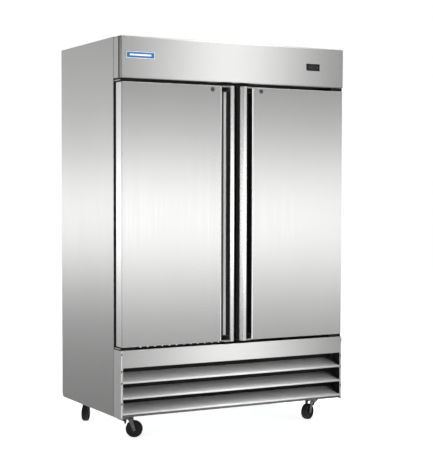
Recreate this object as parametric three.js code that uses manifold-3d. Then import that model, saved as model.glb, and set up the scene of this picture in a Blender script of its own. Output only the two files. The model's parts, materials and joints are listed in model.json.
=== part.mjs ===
// Reach-in refrigerator: two solid doors, condensing unit at the bottom behind a louvred grille,
// four swivel casters. Millimetres, +Z up, X to the right, doors facing -Y.
// The origin is on the floor, under the middle of the cabinet.
import * as THREE from 'three';
import { mergeVertices } from 'three/addons/utils/BufferGeometryUtils.js';
import Module from 'manifold-3d';

const wasm = await Module();
wasm.setup();

// ---------------------------------------------------------------- driving dimensions
const WIDTH = 1372;               // outside of the side panels
const HEIGHT = 2100;              // floor to cabinet top
const FRONT = -400;               // plane of the door, header and grille faces
const BODY_FRONT = -310;          // front edge of the cabinet body
const REAR = 418;                 // outside of the rear panel
const BASE_Z = 127;               // underside of the cabinet, on its casters
const DECK_Z = 493;               // underside of the insulated box
const HEADER_Z = 1883;            // underside of the header
const DOOR_Z = [497, 1867];       // door bottom and top
const FASCIA_Z = [390, 482.5];    // plain band over the louvres
const SHEET = 1.2;                // sheet steel
const GAP = 0.3;                  // between pieces that touch

const HALF = WIDTH / 2;
const INSIDE = { x: 622, front: -308, back: 354, floor: 545, ceiling: 2040 };
const DOORWAY = { z0: 545, z1: 1830, mullion: 35 };

const DOOR = {
  hingeEdge: 680,                 // |x| of the door's outer edge
  meetingEdge: 4.5,               // |x| of the edges that meet at the middle
  faceEdge: 94.5,                 // |x| where the flat face ends and the pull begins
  panDepth: 66,                   // front pan, from the face
  thickness: 78,                  // to the back of the plastic liner
  recess: 31,                     // floor of the finger recess, behind the face
  edgeFace: 15,                   // front of the plastic meeting edge, behind the face
};
const PIVOT = { x: 660, y: FRONT + 26, pinRadius: 5, boreRadius: 6, depth: 22 };
const PULL = { inner: 17.5, crest: 28, outer: 50.5, flange: 66, slope: 81, proud: 18, sheet: 1.5, endWeb: 7 };
const LOCK = { x: 149.5, z: 1845.5, radius: 9.4, camLength: 43, camWidth: 12, camBack: 26, keeperRun: 32 };
const SHELF = { levels: [850, 1165, 1480], x: [6, 604], y: [-276, 336], rod: 6, wire: 4, wires: 11 };
const LOUVRE = { z: [309, 227.5, 146], lip: 9, depth: 86, rise: 39, hem: 10 };
const GLAND = { x: 560, z: 470, radius: 12 };
const CASTER = {
  x: 576, front: -250, rear: 311, trail: 33, radius: 45, width: 32, axle: 5,
  legGap: 17, legSheet: 3.5, crown: 118,
};

// ---------------------------------------------------------------- materials
const paint = (color, roughness, metalness) =>
  new THREE.MeshStandardMaterial({ color, roughness, metalness });
const stainless = paint(0xb9babb, 0.32, 1);
const galvanised = paint(0x9fa3a6, 0.5, 0.9);
const blackPlastic = paint(0x151413, 0.45, 0);
const rubber = paint(0x1c1b1a, 0.8, 0);
const foam = paint(0xd9c98e, 0.9, 0);
const aluminium = paint(0xc6c8ca, 0.4, 1);
const chrome = paint(0xd0d2d4, 0.12, 1);
const blackPaint = paint(0x1b1b1c, 0.4, 0);
const whiteWire = paint(0xdcdedd, 0.35, 0.1);
const zinc = paint(0x8b8f93, 0.35, 0.9);
const badgeBlue = paint(0x1668b0, 0.3, 0);
const displayBlack = paint(0x0c0c0e, 0.15, 0);

// ---------------------------------------------------------------- shape helpers
function box(x, y, z) {
  const low = [x, y, z].map((pair) => Math.min(...pair));
  const size = [x, y, z].map((pair) => Math.abs(pair[1] - pair[0]));
  return new THREE.BoxGeometry(...size).translate(
    low[0] + size[0] / 2, low[1] + size[1] / 2, low[2] + size[2] / 2);
}

function shapeOf(points) {
  return new THREE.Shape(points.map(([a, b]) => new THREE.Vector2(a, b)));
}

// an outline in plan (x, y), standing from z[0] to z[1]
function upright(points, z) {
  const shape = points instanceof THREE.Shape ? points : shapeOf(points);
  const options = { depth: z[1] - z[0], bevelEnabled: false, curveSegments: 8 };
  return new THREE.ExtrudeGeometry(shape, options).translate(0, 0, z[0]);
}

// an outline in side view (y, z), running across from x[0] to x[1]
function across(points, x) {
  const shape = points instanceof THREE.Shape ? points : shapeOf(points);
  const options = { depth: x[1] - x[0], bevelEnabled: false, curveSegments: 8 };
  const turn = new THREE.Matrix4().set(0, 0, 1, x[0], 1, 0, 0, 0, 0, 1, 0, 0, 0, 0, 0, 1);
  return new THREE.ExtrudeGeometry(shape, options).applyMatrix4(turn);
}

// an outline in front view (x, z), running back from y[0] to y[1]
function deep(points, y) {
  const shape = points instanceof THREE.Shape ? points : shapeOf(points);
  const options = { depth: y[1] - y[0], bevelEnabled: false, curveSegments: 8 };
  return new THREE.ExtrudeGeometry(shape, options).rotateX(Math.PI / 2).translate(0, y[1], 0);
}

const AXES = { x: [0, 0, -Math.PI / 2], y: [0, 0, 0], z: [Math.PI / 2, 0, 0] };

function rod(axis, radius, from, to, sides = 20) {
  const length = to.clone().sub(from).length();
  const middle = to.clone().add(from).multiplyScalar(0.5);
  const geometry = new THREE.CylinderGeometry(radius, radius, length, sides);
  geometry.rotateX(AXES[axis][0]).rotateZ(AXES[axis][2]);
  return geometry.translate(middle.x, middle.y, middle.z);
}

const at = (x, y, z) => new THREE.Vector3(x, y, z);

// a body turned about Z from [radius, height] points; the ends lie on the axis
function turned(points, sides = 20) {
  const profile = points.map(([r, h]) => new THREE.Vector2(r, h));
  return new THREE.LatheGeometry(profile, sides).rotateX(Math.PI / 2);
}

function solid(geometry) {
  const bare = geometry.clone();
  bare.deleteAttribute('normal');
  bare.deleteAttribute('uv');
  const merged = mergeVertices(bare, 1e-4);
  return new wasm.Manifold(new wasm.Mesh({
    numProp: 3,
    vertProperties: new Float32Array(merged.attributes.position.array),
    triVerts: new Uint32Array(merged.index.array),
  }));
}

function join(...pieces) {
  return pieces.map(solid).reduce((sum, piece) => sum.add(piece));
}

function cut(body, ...tools) {
  return tools.map(solid).reduce((left, tool) => left.subtract(tool), body);
}

function geometryOf(shape) {
  if (shape instanceof THREE.BufferGeometry) return shape;
  const mesh = shape.getMesh();
  const geometry = new THREE.BufferGeometry();
  geometry.setAttribute('position', new THREE.BufferAttribute(new Float32Array(mesh.vertProperties), 3));
  geometry.setIndex(new THREE.BufferAttribute(new Uint32Array(mesh.triVerts), 1));
  geometry.computeVertexNormals();
  return geometry;
}

const refrigerator = new THREE.Group();

function part(name, shape, material, parent = refrigerator) {
  const mesh = new THREE.Mesh(geometryOf(shape), material);
  mesh.name = name;
  parent.add(mesh);
  return mesh;
}

const SIDES = [['left', -1], ['right', 1]];

// [|x| low, |x| high] on one side of the cabinet, as a rising pair
const span = (side, near, far) => (side < 0 ? [-far, -near] : [near, far]);

// plan points given for the right-hand side, mirrored for the left and kept counter-clockwise
function mirrored(side, points) {
  return side > 0 ? points : points.map(([x, y]) => [-x, y]).reverse();
}

// ---------------------------------------------------------------- cabinet body
function sidePanels() {
  const chamfer = 20;
  const outline = [
    [BODY_FRONT, BASE_Z], [REAR - chamfer, BASE_Z], [REAR, BASE_Z + chamfer],
    [REAR, HEIGHT], [BODY_FRONT, HEIGHT],
  ];
  const rearReturn = 20;
  for (const [word, side] of SIDES) {
    const skin = across(outline, span(side, HALF - SHEET, HALF));
    const fold = box(span(side, HALF - rearReturn, HALF - SHEET / 2), [REAR - SHEET, REAR],
      [BASE_Z + chamfer + 2, HEIGHT]);
    part(`side_panel_${word}`, join(skin, fold), stainless);
  }
}

function rearPanel() {
  const x = HALF - 20 - GAP;
  const slotWidth = 8;
  const slots = [];
  for (let i = -9; i <= 9; i += 1) {
    slots.push(box([i * 48 - slotWidth / 2, i * 48 + slotWidth / 2], [REAR - 5, REAR + 5], [190, 420]));
  }
  const back = join(
    box([-x, x], [REAR - SHEET, REAR], [BASE_Z + 6, HEIGHT - SHEET - GAP]),
    box([-x, x], [BODY_FRONT + 15, REAR - SHEET / 2], [DECK_Z, DECK_Z + SHEET]),
  );
  const inlet = rod('y', GLAND.radius, at(GLAND.x, REAR - 5, GLAND.z), at(GLAND.x, REAR + 5, GLAND.z));
  part('rear_panel', cut(back, ...slots, inlet), galvanised);
}

function cordGland() {
  const bush = join(
    rod('y', GLAND.radius - GAP, at(GLAND.x, REAR - 14, GLAND.z), at(GLAND.x, REAR, GLAND.z)),
    rod('y', GLAND.radius + 4, at(GLAND.x, REAR - 14, GLAND.z), at(GLAND.x, REAR - SHEET - GAP, GLAND.z)),
  );
  const hole = rod('y', 5, at(GLAND.x, REAR - 20, GLAND.z), at(GLAND.x, REAR + 6, GLAND.z));
  part('cord_gland', cut(bush, hole), blackPlastic);
}

function insulation() {
  const x = HALF - SHEET - GAP;
  const inset = SHEET + 2 * GAP;
  const block = solid(box([-x, x], [BODY_FRONT + 15, REAR - SHEET - GAP],
    [DECK_Z + SHEET + GAP, HEIGHT - SHEET - 2 * GAP]));
  const hollow = box([-INSIDE.x - inset, INSIDE.x + inset], [BODY_FRONT, INSIDE.back + inset],
    [INSIDE.floor - inset, INSIDE.ceiling + inset]);
  const foldRoom = SIDES.map(([, side]) => box(span(side, HALF - 20 - 1, HALF),
    [REAR - SHEET - GAP, REAR], [BASE_Z, HEIGHT]));
  part('foam_shell', cut(block, hollow, ...foldRoom), foam);
}

// welded box, open at the front, with the shelf standards and their shelf hooks
function innerLiner() {
  const front = BODY_FRONT + 15;
  const shell = join(box([-INSIDE.x - SHEET, INSIDE.x + SHEET], [front, INSIDE.back + SHEET],
    [INSIDE.floor - SHEET, INSIDE.ceiling + SHEET]));
  const hollow = box([-INSIDE.x, INSIDE.x], [front - 5, INSIDE.back], [INSIDE.floor, INSIDE.ceiling]);
  let liner = cut(shell, hollow);
  const standard = { width: 26, depth: 12, z: [600, 1800] };
  const hook = { reach: 26, height: 10 };
  const add = (geometry) => {
    liner = liner.add(solid(geometry));
  };
  for (const [, side] of SIDES) {
    for (const y of [-240, 290]) {
      const wide = [y - standard.width / 2, y + standard.width / 2];
      add(box(span(side, INSIDE.x - standard.depth, INSIDE.x + SHEET / 2), wide, standard.z));
      for (const z of SHELF.levels) {
        add(box(span(side, INSIDE.x - hook.reach, INSIDE.x), [y - 5, y + 5],
          [z - hook.height - GAP, z - GAP]));
      }
    }
  }
  add(box([-20, 20], [INSIDE.back - standard.depth, INSIDE.back + SHEET / 2], standard.z));
  for (const z of SHELF.levels) {
    add(box([-26, 26], [INSIDE.back - hook.reach, INSIDE.back], [z - hook.height - GAP, z - GAP]));
  }
  part('inner_liner', liner, aluminium);
}

// frame that the gaskets close on, with the mullion between the doors
function frontFrame() {
  const x = HALF - SHEET - GAP;
  const y = [BODY_FRONT + 0.6, BODY_FRONT + 14.5];
  let frame = solid(box([-x, x], y, [DECK_Z, HEIGHT - SHEET - 2 * GAP]));
  for (const [, side] of SIDES) {
    frame = cut(frame, box(span(side, DOORWAY.mullion, INSIDE.x), [y[0] - 5, y[1] + 5],
      [DOORWAY.z0, DOORWAY.z1]));
  }
  const standard = box([-20, 20], [y[1] - 1, y[1] + 12], [600, 1800]);
  frame = frame.add(solid(standard));
  for (const z of SHELF.levels) {
    frame = frame.add(solid(box([-26, 26], [y[1] - 1, y[1] + 26], [z - 10 - GAP, z - GAP])));
  }
  part('front_frame', frame, blackPlastic);
}

function topPanel() {
  const x = HALF - SHEET - GAP;
  part('top_panel', box([-x, x], [BODY_FRONT + 0.6, REAR - SHEET - GAP], [HEIGHT - SHEET, HEIGHT]), stainless);
}

// ---------------------------------------------------------------- header
const CONTROLLER = { x: [440, 525], z: [1973, 2011] };

function header() {
  const shell = join(box([-HALF, HALF], [FRONT, BODY_FRONT - GAP], [HEADER_Z, HEIGHT]));
  const hollow = box([-HALF + SHEET, HALF - SHEET], [FRONT + SHEET, BODY_FRONT + 5],
    [HEADER_Z + SHEET, HEIGHT - SHEET]);
  const window = box([CONTROLLER.x[0] + 4, CONTROLLER.x[1] - 4], [FRONT - 5, FRONT + 5],
    [CONTROLLER.z[0] + 4, CONTROLLER.z[1] - 4]);
  const keepers = SIDES.map(([, side]) => box(
    span(side, LOCK.x - LOCK.keeperRun, LOCK.x + LOCK.camWidth),
    [FRONT + LOCK.camBack - 3, FRONT + LOCK.camBack + 6], [HEADER_Z - 5, HEADER_Z + 5]));
  part('header_cover', cut(shell, hollow, window, ...keepers), stainless);

  const bezel = join(
    box(CONTROLLER.x, [FRONT - 3, FRONT - GAP], CONTROLLER.z),
    box([CONTROLLER.x[0] + 5, CONTROLLER.x[1] - 5], [FRONT - 1, FRONT + 58],
      [CONTROLLER.z[0] + 5, CONTROLLER.z[1] - 5]),
  );
  part('controller', bezel, displayBlack);

  const plate = { x: [-652, -492], z: [1987, 2020], round: 6 };
  const outline = new THREE.Shape();
  outline.moveTo(plate.x[0] + plate.round, plate.z[0]);
  outline.lineTo(plate.x[1] - plate.round, plate.z[0]);
  outline.absarc(plate.x[1] - plate.round, plate.z[0] + plate.round, plate.round, -Math.PI / 2, 0);
  outline.absarc(plate.x[1] - plate.round, plate.z[1] - plate.round, plate.round, 0, Math.PI / 2);
  outline.absarc(plate.x[0] + plate.round, plate.z[1] - plate.round, plate.round, Math.PI / 2, Math.PI);
  outline.absarc(plate.x[0] + plate.round, plate.z[0] + plate.round, plate.round, Math.PI, 1.5 * Math.PI);
  part('blank_badge', deep(outline, [FRONT - 1.8, FRONT - GAP]), badgeBlue);
}

// ---------------------------------------------------------------- louvred grille
function grille() {
  const flange = 14;
  const back = BODY_FRONT - GAP;
  const ends = SIDES.flatMap(([, side]) => [
    box(span(side, HALF - SHEET, HALF), [FRONT, back], [BASE_Z, FASCIA_Z[1]]),
    box(span(side, HALF - flange, HALF), [FRONT, FRONT + SHEET], [BASE_Z, FASCIA_Z[0] + 2]),
  ]);
  const frame = join(
    box([-HALF, HALF], [FRONT, FRONT + SHEET], FASCIA_Z),
    box([-HALF, HALF], [FRONT, back], [FASCIA_Z[1] - SHEET, FASCIA_Z[1]]),
    box([-HALF, HALF], [FRONT, FRONT + 14], [FASCIA_Z[0], FASCIA_Z[0] + SHEET]),
    box([-HALF, HALF], [FRONT, FRONT + SHEET], [BASE_Z + 8, BASE_Z + 17]),
    box([-HALF, HALF], [FRONT, back], [BASE_Z + 8, BASE_Z + 8 + SHEET]),
    ...ends,
  );
  part('grille_frame', frame, stainless);

  LOUVRE.z.forEach((z, index) => {
    const profile = [
      [0, z], [LOUVRE.hem, z], [LOUVRE.hem, z + SHEET], [SHEET, z + SHEET], [SHEET, z + LOUVRE.lip - SHEET],
      [LOUVRE.depth, z + LOUVRE.lip + LOUVRE.rise - 1.5 * SHEET], [LOUVRE.depth, z + LOUVRE.lip + LOUVRE.rise],
      [0, z + LOUVRE.lip],
    ].map(([y, h]) => [FRONT + y, h]);
    const x = HALF - flange - GAP;
    part(`louvre_blade_${index + 1}`, across(profile, [-x, x]), stainless);
  });
}

// ---------------------------------------------------------------- machine compartment
const PAN_TOP = BASE_Z + 3;

function machineCompartment() {
  const x = HALF - SHEET - GAP;
  const pan = join(
    box([-x, x], [BODY_FRONT + 1, REAR - SHEET - 5], [BASE_Z, PAN_TOP]),
    box([-x, x], [BODY_FRONT + 1, BODY_FRONT + 4], [BASE_Z, PAN_TOP + 12]),
    box([-x, x], [REAR - SHEET - 8, REAR - SHEET - 5], [BASE_Z, PAN_TOP + 12]),
  );
  part('base_pan', pan, galvanised);

  const coil = { x: [-420, -60], y: [-285, -235], z: [PAN_TOP + GAP, 452], shroud: 42 };
  const fan = { x: (coil.x[0] + coil.x[1]) / 2, z: 292, radius: 112 };
  const block = join(box(coil.x, [coil.y[0], coil.y[1] + coil.shroud], coil.z));
  const throat = rod('y', fan.radius + 10, at(fan.x, coil.y[1], fan.z), at(fan.x, coil.y[1] + 60, fan.z), 32);
  part('condenser_coil', cut(block, throat), aluminium);

  const motorFront = coil.y[1] + coil.shroud + 4;
  const motor = join(
    rod('y', 38, at(fan.x, motorFront, fan.z), at(fan.x, motorFront + 62, fan.z), 24),
    box([coil.x[0] + 8, coil.x[1] - 8], [motorFront + 8, motorFront + 12], [fan.z - 12, fan.z + 12]),
    box([coil.x[0] + 8, coil.x[0] + 30], [coil.y[1] + coil.shroud + GAP, motorFront + 12], [fan.z - 12, fan.z + 12]),
    box([coil.x[1] - 30, coil.x[1] - 8], [coil.y[1] + coil.shroud + GAP, motorFront + 12], [fan.z - 12, fan.z + 12]),
  );
  part('condenser_fan_motor', motor, blackPaint);
  fanBlade('condenser_fan_blade', at(fan.x, coil.y[1] + 24, fan.z), fan.radius, 4, 22);

  const shellR = 88;
  const compressor = join(
    turned([[0, 0], [shellR - 10, 0], [shellR, 12], [shellR, 118], [shellR - 12, 150],
      [shellR - 42, 172], [0, 180]]).translate(250, 60, PAN_TOP + 24),
    box([250 - 105, 250 + 105], [60 - 60, 60 + 60], [PAN_TOP + 14, PAN_TOP + 26]),
    box([250 + shellR - 14, 250 + shellR + 34], [60 - 32, 60 + 32], [PAN_TOP + 70, PAN_TOP + 140]),
    ...[[-88, -45], [88, -45], [-88, 45], [88, 45]].map(([dx, dy]) => rod('z', 11,
      at(250 + dx, 60 + dy, PAN_TOP + GAP), at(250 + dx, 60 + dy, PAN_TOP + 16), 16)),
  );
  part('compressor', compressor, blackPaint);

  const tray = { x: [-380, -40], y: [60, 330], z: [PAN_TOP + GAP, PAN_TOP + 52], wall: 2 };
  const drainPan = cut(join(box(tray.x, tray.y, tray.z)),
    box([tray.x[0] + tray.wall, tray.x[1] - tray.wall], [tray.y[0] + tray.wall, tray.y[1] - tray.wall],
      [tray.z[0] + tray.wall, tray.z[1] + 5]));
  part('drain_pan', drainPan, galvanised);
}

// axial fan facing along Y: a hub and flat blades, each turned on its own radius
function fanBlade(name, centre, radius, blades, depth) {
  const hub = solid(rod('y', radius * 0.26, at(0, -depth / 2, 0), at(0, depth / 2, 0), 20));
  let rotor = hub;
  for (let i = 0; i < blades; i += 1) {
    const blade = box([radius * 0.2, radius], [-1, 1], [-radius * 0.3, radius * 0.3]);
    blade.rotateX(-0.45).rotateY((i * 2 * Math.PI) / blades);
    rotor = rotor.add(solid(blade));
  }
  part(name, rotor, aluminium).position.copy(centre);
}

// ---------------------------------------------------------------- evaporator under the ceiling
function evaporator() {
  const cover = { x: [-560, 560], y: [60, 338], z: [1862, INSIDE.ceiling - GAP] };
  const fan = { x: 0, z: 1948, radius: 66 };
  const inner = [SHEET * 1.5, -SHEET * 1.5];
  const housing = cut(join(box(cover.x, cover.y, cover.z)),
    box(cover.x.map((v, i) => v + inner[i]), cover.y.map((v, i) => v + inner[i]),
      [cover.z[0] + inner[0], cover.z[1] + 5]),
    rod('y', fan.radius + 8, at(fan.x, cover.y[0] - 5, fan.z), at(fan.x, cover.y[0] + 5, fan.z), 28),
    ...[-420, -260, 260, 420].map((x) => box([x - 60, x + 60], [150, 300], [cover.z[0] - 5, cover.z[0] + 5])));
  part('evaporator_cover', housing, aluminium);
  part('evaporator_coil', box([-500, 500], [170, 320], [1886, 2030]), aluminium);
  fanBlade('evaporator_fan_blade', at(fan.x, cover.y[0] + 26, fan.z), fan.radius, 5, 16);
}

// ---------------------------------------------------------------- shelves
function shelf(word, side, z, index) {
  const ends = span(side, ...SHELF.x);
  const [y0, y1] = SHELF.y;
  const { rod: rail, wire } = SHELF;
  const rails = [y0, y0 + (y1 - y0) / 2 - rail / 2, y1 - rail].map((y) => box(ends, [y, y + rail], [z, z + rail]));
  const pitch = (ends[1] - ends[0] - wire) / (SHELF.wires - 1);
  const wires = [];
  for (let i = 0; i < SHELF.wires; i += 1) {
    const x = ends[0] + i * pitch;
    wires.push(box([x, x + wire], [y0 + 1, y1 - 1], [z + rail - 1, z + rail - 1 + wire]));
  }
  part(`shelf_${word}_${index + 1}`, join(...rails, ...wires), whiteWire);
}

// ---------------------------------------------------------------- doors
const CAM_ROOM = LOCK.camLength + 3;

function door(word, side) {
  const face = FRONT;
  const z = DOOR_Z;
  const panBack = face + DOOR.panDepth;
  const pins = [[z[1] - PIVOT.depth, z[1] + 5], [z[0] - 5, z[0] + PIVOT.depth]];
  const bores = (radius) => pins.map(([low, high]) => rod('z', radius,
    at(side * PIVOT.x, PIVOT.y, low), at(side * PIVOT.x, PIVOT.y, high), 20));
  const camSlot = box(span(side, LOCK.x - CAM_ROOM, LOCK.x + LOCK.camWidth),
    [face + LOCK.camBack - 3, face + LOCK.camBack + 6], [LOCK.z, z[1] + 5]);
  const lockHole = rod('y', LOCK.radius + 0.4, at(side * LOCK.x, face - 5, LOCK.z),
    at(side * LOCK.x, face + LOCK.camBack + 6, LOCK.z), 24);

  const panOuter = join(box(span(side, DOOR.faceEdge, DOOR.hingeEdge), [face, panBack], z));
  const panInner = box(span(side, DOOR.faceEdge + SHEET, DOOR.hingeEdge - SHEET), [face + SHEET, panBack + 5],
    [z[0] + SHEET, z[1] - SHEET]);
  part(`door_pan_${word}`, cut(panOuter, panInner, lockHole, camSlot, ...bores(PIVOT.boreRadius)), stainless);

  // foam inside the pan and the plastic liner behind it are one bonded piece
  const core = join(
    box(span(side, DOOR.faceEdge + SHEET + GAP, DOOR.hingeEdge - SHEET - GAP),
      [face + SHEET + GAP, panBack + 1], [z[0] + SHEET + GAP, z[1] - SHEET - GAP]),
    box(span(side, DOOR.meetingEdge, DOOR.hingeEdge - 3), [panBack + GAP, face + DOOR.thickness],
      [z[0] + 3, z[1] - 3]),
  );
  const camPocket = box(span(side, LOCK.x - CAM_ROOM, LOCK.x + LOCK.camWidth),
    [face + LOCK.camBack - 3, face + LOCK.camBack + 6], [LOCK.z - LOCK.camWidth, z[1] + 5]);
  part(`door_liner_${word}`, cut(core, lockHole, camPocket, ...bores(PIVOT.boreRadius)), blackPlastic);

  // plastic meeting edge, with the floor of the finger recess
  const edge = mirrored(side, [
    [DOOR.meetingEdge, face + DOOR.edgeFace], [PULL.inner - GAP, face + DOOR.edgeFace],
    [PULL.inner - GAP, face + DOOR.recess + PULL.sheet + GAP + 5],
    [DOOR.faceEdge - GAP, face + DOOR.recess + PULL.sheet + GAP + 5],
    [DOOR.faceEdge - GAP, panBack], [DOOR.meetingEdge, panBack],
  ]);
  part(`meeting_edge_${word}`, upright(edge, z), blackPlastic);

  // folded steel pull: a rib that stands proud of the door, its flange, and webs that close the ends
  const t = PULL.sheet;
  const floor = face + DOOR.recess;
  const section = mirrored(side, [
    [PULL.inner, face], [PULL.crest, face - PULL.proud], [PULL.outer, face - PULL.proud], [PULL.outer, floor],
    [PULL.flange, floor], [PULL.slope, floor + 5], [PULL.slope, floor + 5 + t], [PULL.flange, floor + t],
    [PULL.outer - t, floor + t], [PULL.outer - t, face - PULL.proud + t],
    [PULL.crest + t / 2, face - PULL.proud + t], [PULL.inner + t, face + t / 2],
    [PULL.inner + t, floor + t], [PULL.inner, floor + t],
  ]);
  const web = mirrored(side, [
    [PULL.inner, face], [PULL.crest, face - PULL.proud], [PULL.outer, face - PULL.proud],
    [DOOR.faceEdge - GAP, face],
    [DOOR.faceEdge - GAP, floor + 5], [PULL.slope, floor + 5 + t], [PULL.flange, floor + t], [PULL.inner, floor + t],
  ]);
  const pull = join(upright(section, z), upright(web, [z[0], z[0] + PULL.endWeb]),
    upright(web, [z[1] - PULL.endWeb, z[1]]));
  part(`door_pull_${word}`, pull, stainless);

  // magnetic gasket, all of it on the free side of the pivot
  const gasket = { near: 8, far: PIVOT.x - 4, z: [z[0] + 10, z[1] - 10], width: 20 };
  const y = [face + DOOR.thickness + GAP, BODY_FRONT + 0.6 - GAP];
  const ring = cut(join(box(span(side, gasket.near, gasket.far), y, gasket.z)),
    box(span(side, gasket.near + gasket.width, gasket.far - gasket.width), [y[0] - 5, y[1] + 5],
      [gasket.z[0] + gasket.width, gasket.z[1] - gasket.width]));
  part(`gasket_${word}`, ring, rubber);

  // lock plug with its cam, which turns up into the header; the cam rests lying towards the middle
  const plug = join(
    rod('y', LOCK.radius, at(side * LOCK.x, face - 2.5, LOCK.z), at(side * LOCK.x, face + LOCK.camBack + 3, LOCK.z), 24),
    box(span(side, LOCK.x - LOCK.camLength, LOCK.x + 4), [face + LOCK.camBack, face + LOCK.camBack + 3],
      [LOCK.z - LOCK.camWidth / 2, LOCK.z + LOCK.camWidth / 2]),
  );
  part(`lock_plug_${word}`, plug, chrome);

  // hinge leaves on the cabinet, in the gaps over and under the door, with the pins the door turns on
  const leafEdge = [PIVOT.x - 26, DOOR.hingeEdge + 2];
  const leaf = (low, high) => box(span(side, ...leafEdge), [PIVOT.y - 14, BODY_FRONT - GAP], [low, high]);
  const pin = (low, high) => rod('z', PIVOT.pinRadius, at(side * PIVOT.x, PIVOT.y, low),
    at(side * PIVOT.x, PIVOT.y, high), 20);
  part(`hinge_top_${word}`, join(leaf(z[1] + 5, z[1] + 10), pin(z[1] - PIVOT.depth + 2, z[1] + 7)), zinc);
  part(`hinge_bottom_${word}`, join(leaf(FASCIA_Z[1] + 4, FASCIA_Z[1] + 9), pin(FASCIA_Z[1] + 6, z[0] + PIVOT.depth - 2)), zinc);
}

// ---------------------------------------------------------------- casters
// each is built with its swivel axis on the local Z axis and the wheel trailing along local +X
function caster(word, x, y, turn, braked) {
  const group = new THREE.Group();
  group.position.set(x, y, 0);
  group.rotation.z = THREE.MathUtils.degToRad(turn);
  const plateTop = BASE_Z - GAP;
  const plateZ = [plateTop - 4, plateTop];
  const plate = join(box([-48, 48], [-36, 36], plateZ), rod('z', 20, at(0, 0, plateZ[0] - 2), at(0, 0, plateZ[1] - 1), 24));
  const square = new THREE.Group();
  square.position.set(x, y, 0);
  refrigerator.add(square);
  part(`caster_plate_${word}`, plate, zinc, square);

  const { trail, axle, legGap, legSheet, crown } = CASTER;
  const leg = new THREE.Shape();
  leg.moveTo(-26, crown);
  leg.lineTo(-24, 90);
  leg.lineTo(trail - 13, CASTER.radius - 6);
  leg.absarc(trail, CASTER.radius, 14, Math.PI * 1.15, Math.PI * 2.1);
  leg.lineTo(28, crown);
  leg.closePath();
  const legs = [-1, 1].map((side) => deep(leg, side < 0 ? [-legGap - legSheet, -legGap] : [legGap, legGap + legSheet]));
  const fork = join(
    ...legs,
    box([-26, 28], [-legGap - legSheet, legGap + legSheet], [crown - legSheet, crown]),
    rod('z', 22, at(0, 0, crown - 1), at(0, 0, plateZ[0] - 2 - GAP), 24),
    rod('y', axle, at(trail, -legGap - legSheet - 4, CASTER.radius), at(trail, legGap + legSheet + 4, CASTER.radius), 16),
  );
  part(`caster_fork_${word}`, fork, zinc, group);

  const half = CASTER.width / 2;
  const bore = axle + 0.4;
  const rim = CASTER.radius - 11;
  const tread = [
    [bore, -half], [16, -half], [18, -half + 3], [rim - 2, -half + 3], [rim, -half], [CASTER.radius - 4, -half],
    [CASTER.radius, -half + 5], [CASTER.radius, half - 5], [CASTER.radius - 4, half], [rim, half],
    [rim - 2, half - 3], [18, half - 3], [16, half], [bore, half], [bore, -half],
  ];
  const wheel = turned(tread, 20).rotateX(Math.PI / 2);
  part(`caster_wheel_${word}`, wheel, rubber, group).position.set(trail, 0, CASTER.radius);

  if (braked) {
    const pedal = [
      [-9, 93], [-16, 97], [-46, 108], [-53, 107], [-57, 100], [-52, 97], [-20, 85], [-17, 72], [-11, 72], [-9, 84],
    ];
    const lever = join(deep(pedal, [-12, 12]),
      rod('y', 3, at(-14, -legGap + GAP, 88), at(-14, legGap - GAP, 88), 12));
    part(`brake_pedal_${word}`, lever, blackPlastic, group);
  }
  refrigerator.add(group);
}

sidePanels();
rearPanel();
cordGland();
insulation();
innerLiner();
frontFrame();
topPanel();
header();
grille();
machineCompartment();
evaporator();
for (const [word, side] of SIDES) {
  door(word, side);
  SHELF.levels.forEach((z, index) => shelf(word, side, z, index));
}
caster('front_left', -CASTER.x, CASTER.front, -29, true);
caster('front_right', CASTER.x, CASTER.front, -158, true);
caster('rear_left', -CASTER.x, CASTER.rear, -127, false);
caster('rear_right', CASTER.x, CASTER.rear, -60, false);

export default refrigerator;
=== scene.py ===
import json
import math

import bmesh
import bpy
from mathutils import Matrix, Vector


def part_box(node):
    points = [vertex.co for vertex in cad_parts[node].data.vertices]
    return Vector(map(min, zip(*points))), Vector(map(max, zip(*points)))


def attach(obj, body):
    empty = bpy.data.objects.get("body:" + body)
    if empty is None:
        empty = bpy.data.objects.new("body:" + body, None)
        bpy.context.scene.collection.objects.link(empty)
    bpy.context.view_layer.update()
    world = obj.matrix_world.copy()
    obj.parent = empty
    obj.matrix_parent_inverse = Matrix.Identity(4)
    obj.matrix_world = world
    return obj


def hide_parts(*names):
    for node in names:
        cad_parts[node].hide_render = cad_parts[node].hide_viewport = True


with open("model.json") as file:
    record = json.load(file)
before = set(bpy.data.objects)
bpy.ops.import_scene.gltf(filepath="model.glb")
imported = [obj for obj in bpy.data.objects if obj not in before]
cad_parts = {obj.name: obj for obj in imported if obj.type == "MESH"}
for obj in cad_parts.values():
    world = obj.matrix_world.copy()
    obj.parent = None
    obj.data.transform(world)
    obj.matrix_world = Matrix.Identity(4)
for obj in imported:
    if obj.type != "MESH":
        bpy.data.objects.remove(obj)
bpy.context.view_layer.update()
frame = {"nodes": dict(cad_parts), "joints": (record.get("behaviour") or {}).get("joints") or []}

MM = 0.001
SIDES = (("left", -1), ("right", 1))
CASTERS = ("front_left", "front_right", "rear_left", "rear_right")


# ------------------------------------------------------------------ camera
def make_camera():
    data = bpy.data.cameras.new("camera")
    data.lens = 93.12
    data.sensor_width = 36
    data.clip_end = 60
    cam = bpy.data.objects.new("camera", data)
    bpy.context.collection.objects.link(cam)
    yaw, pitch, roll = math.radians(28.553), math.radians(2.199), math.radians(0.119)
    cam.location = (-3.2547, -6.1511, 1.3116)
    turn = Matrix.Rotation(-yaw, 4, "Z") @ Matrix.Rotation(math.pi / 2 - pitch, 4, "X")
    cam.rotation_euler = (turn @ Matrix.Rotation(roll, 4, "Z")).to_euler()
    bpy.context.scene.camera = cam


make_camera()


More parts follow.
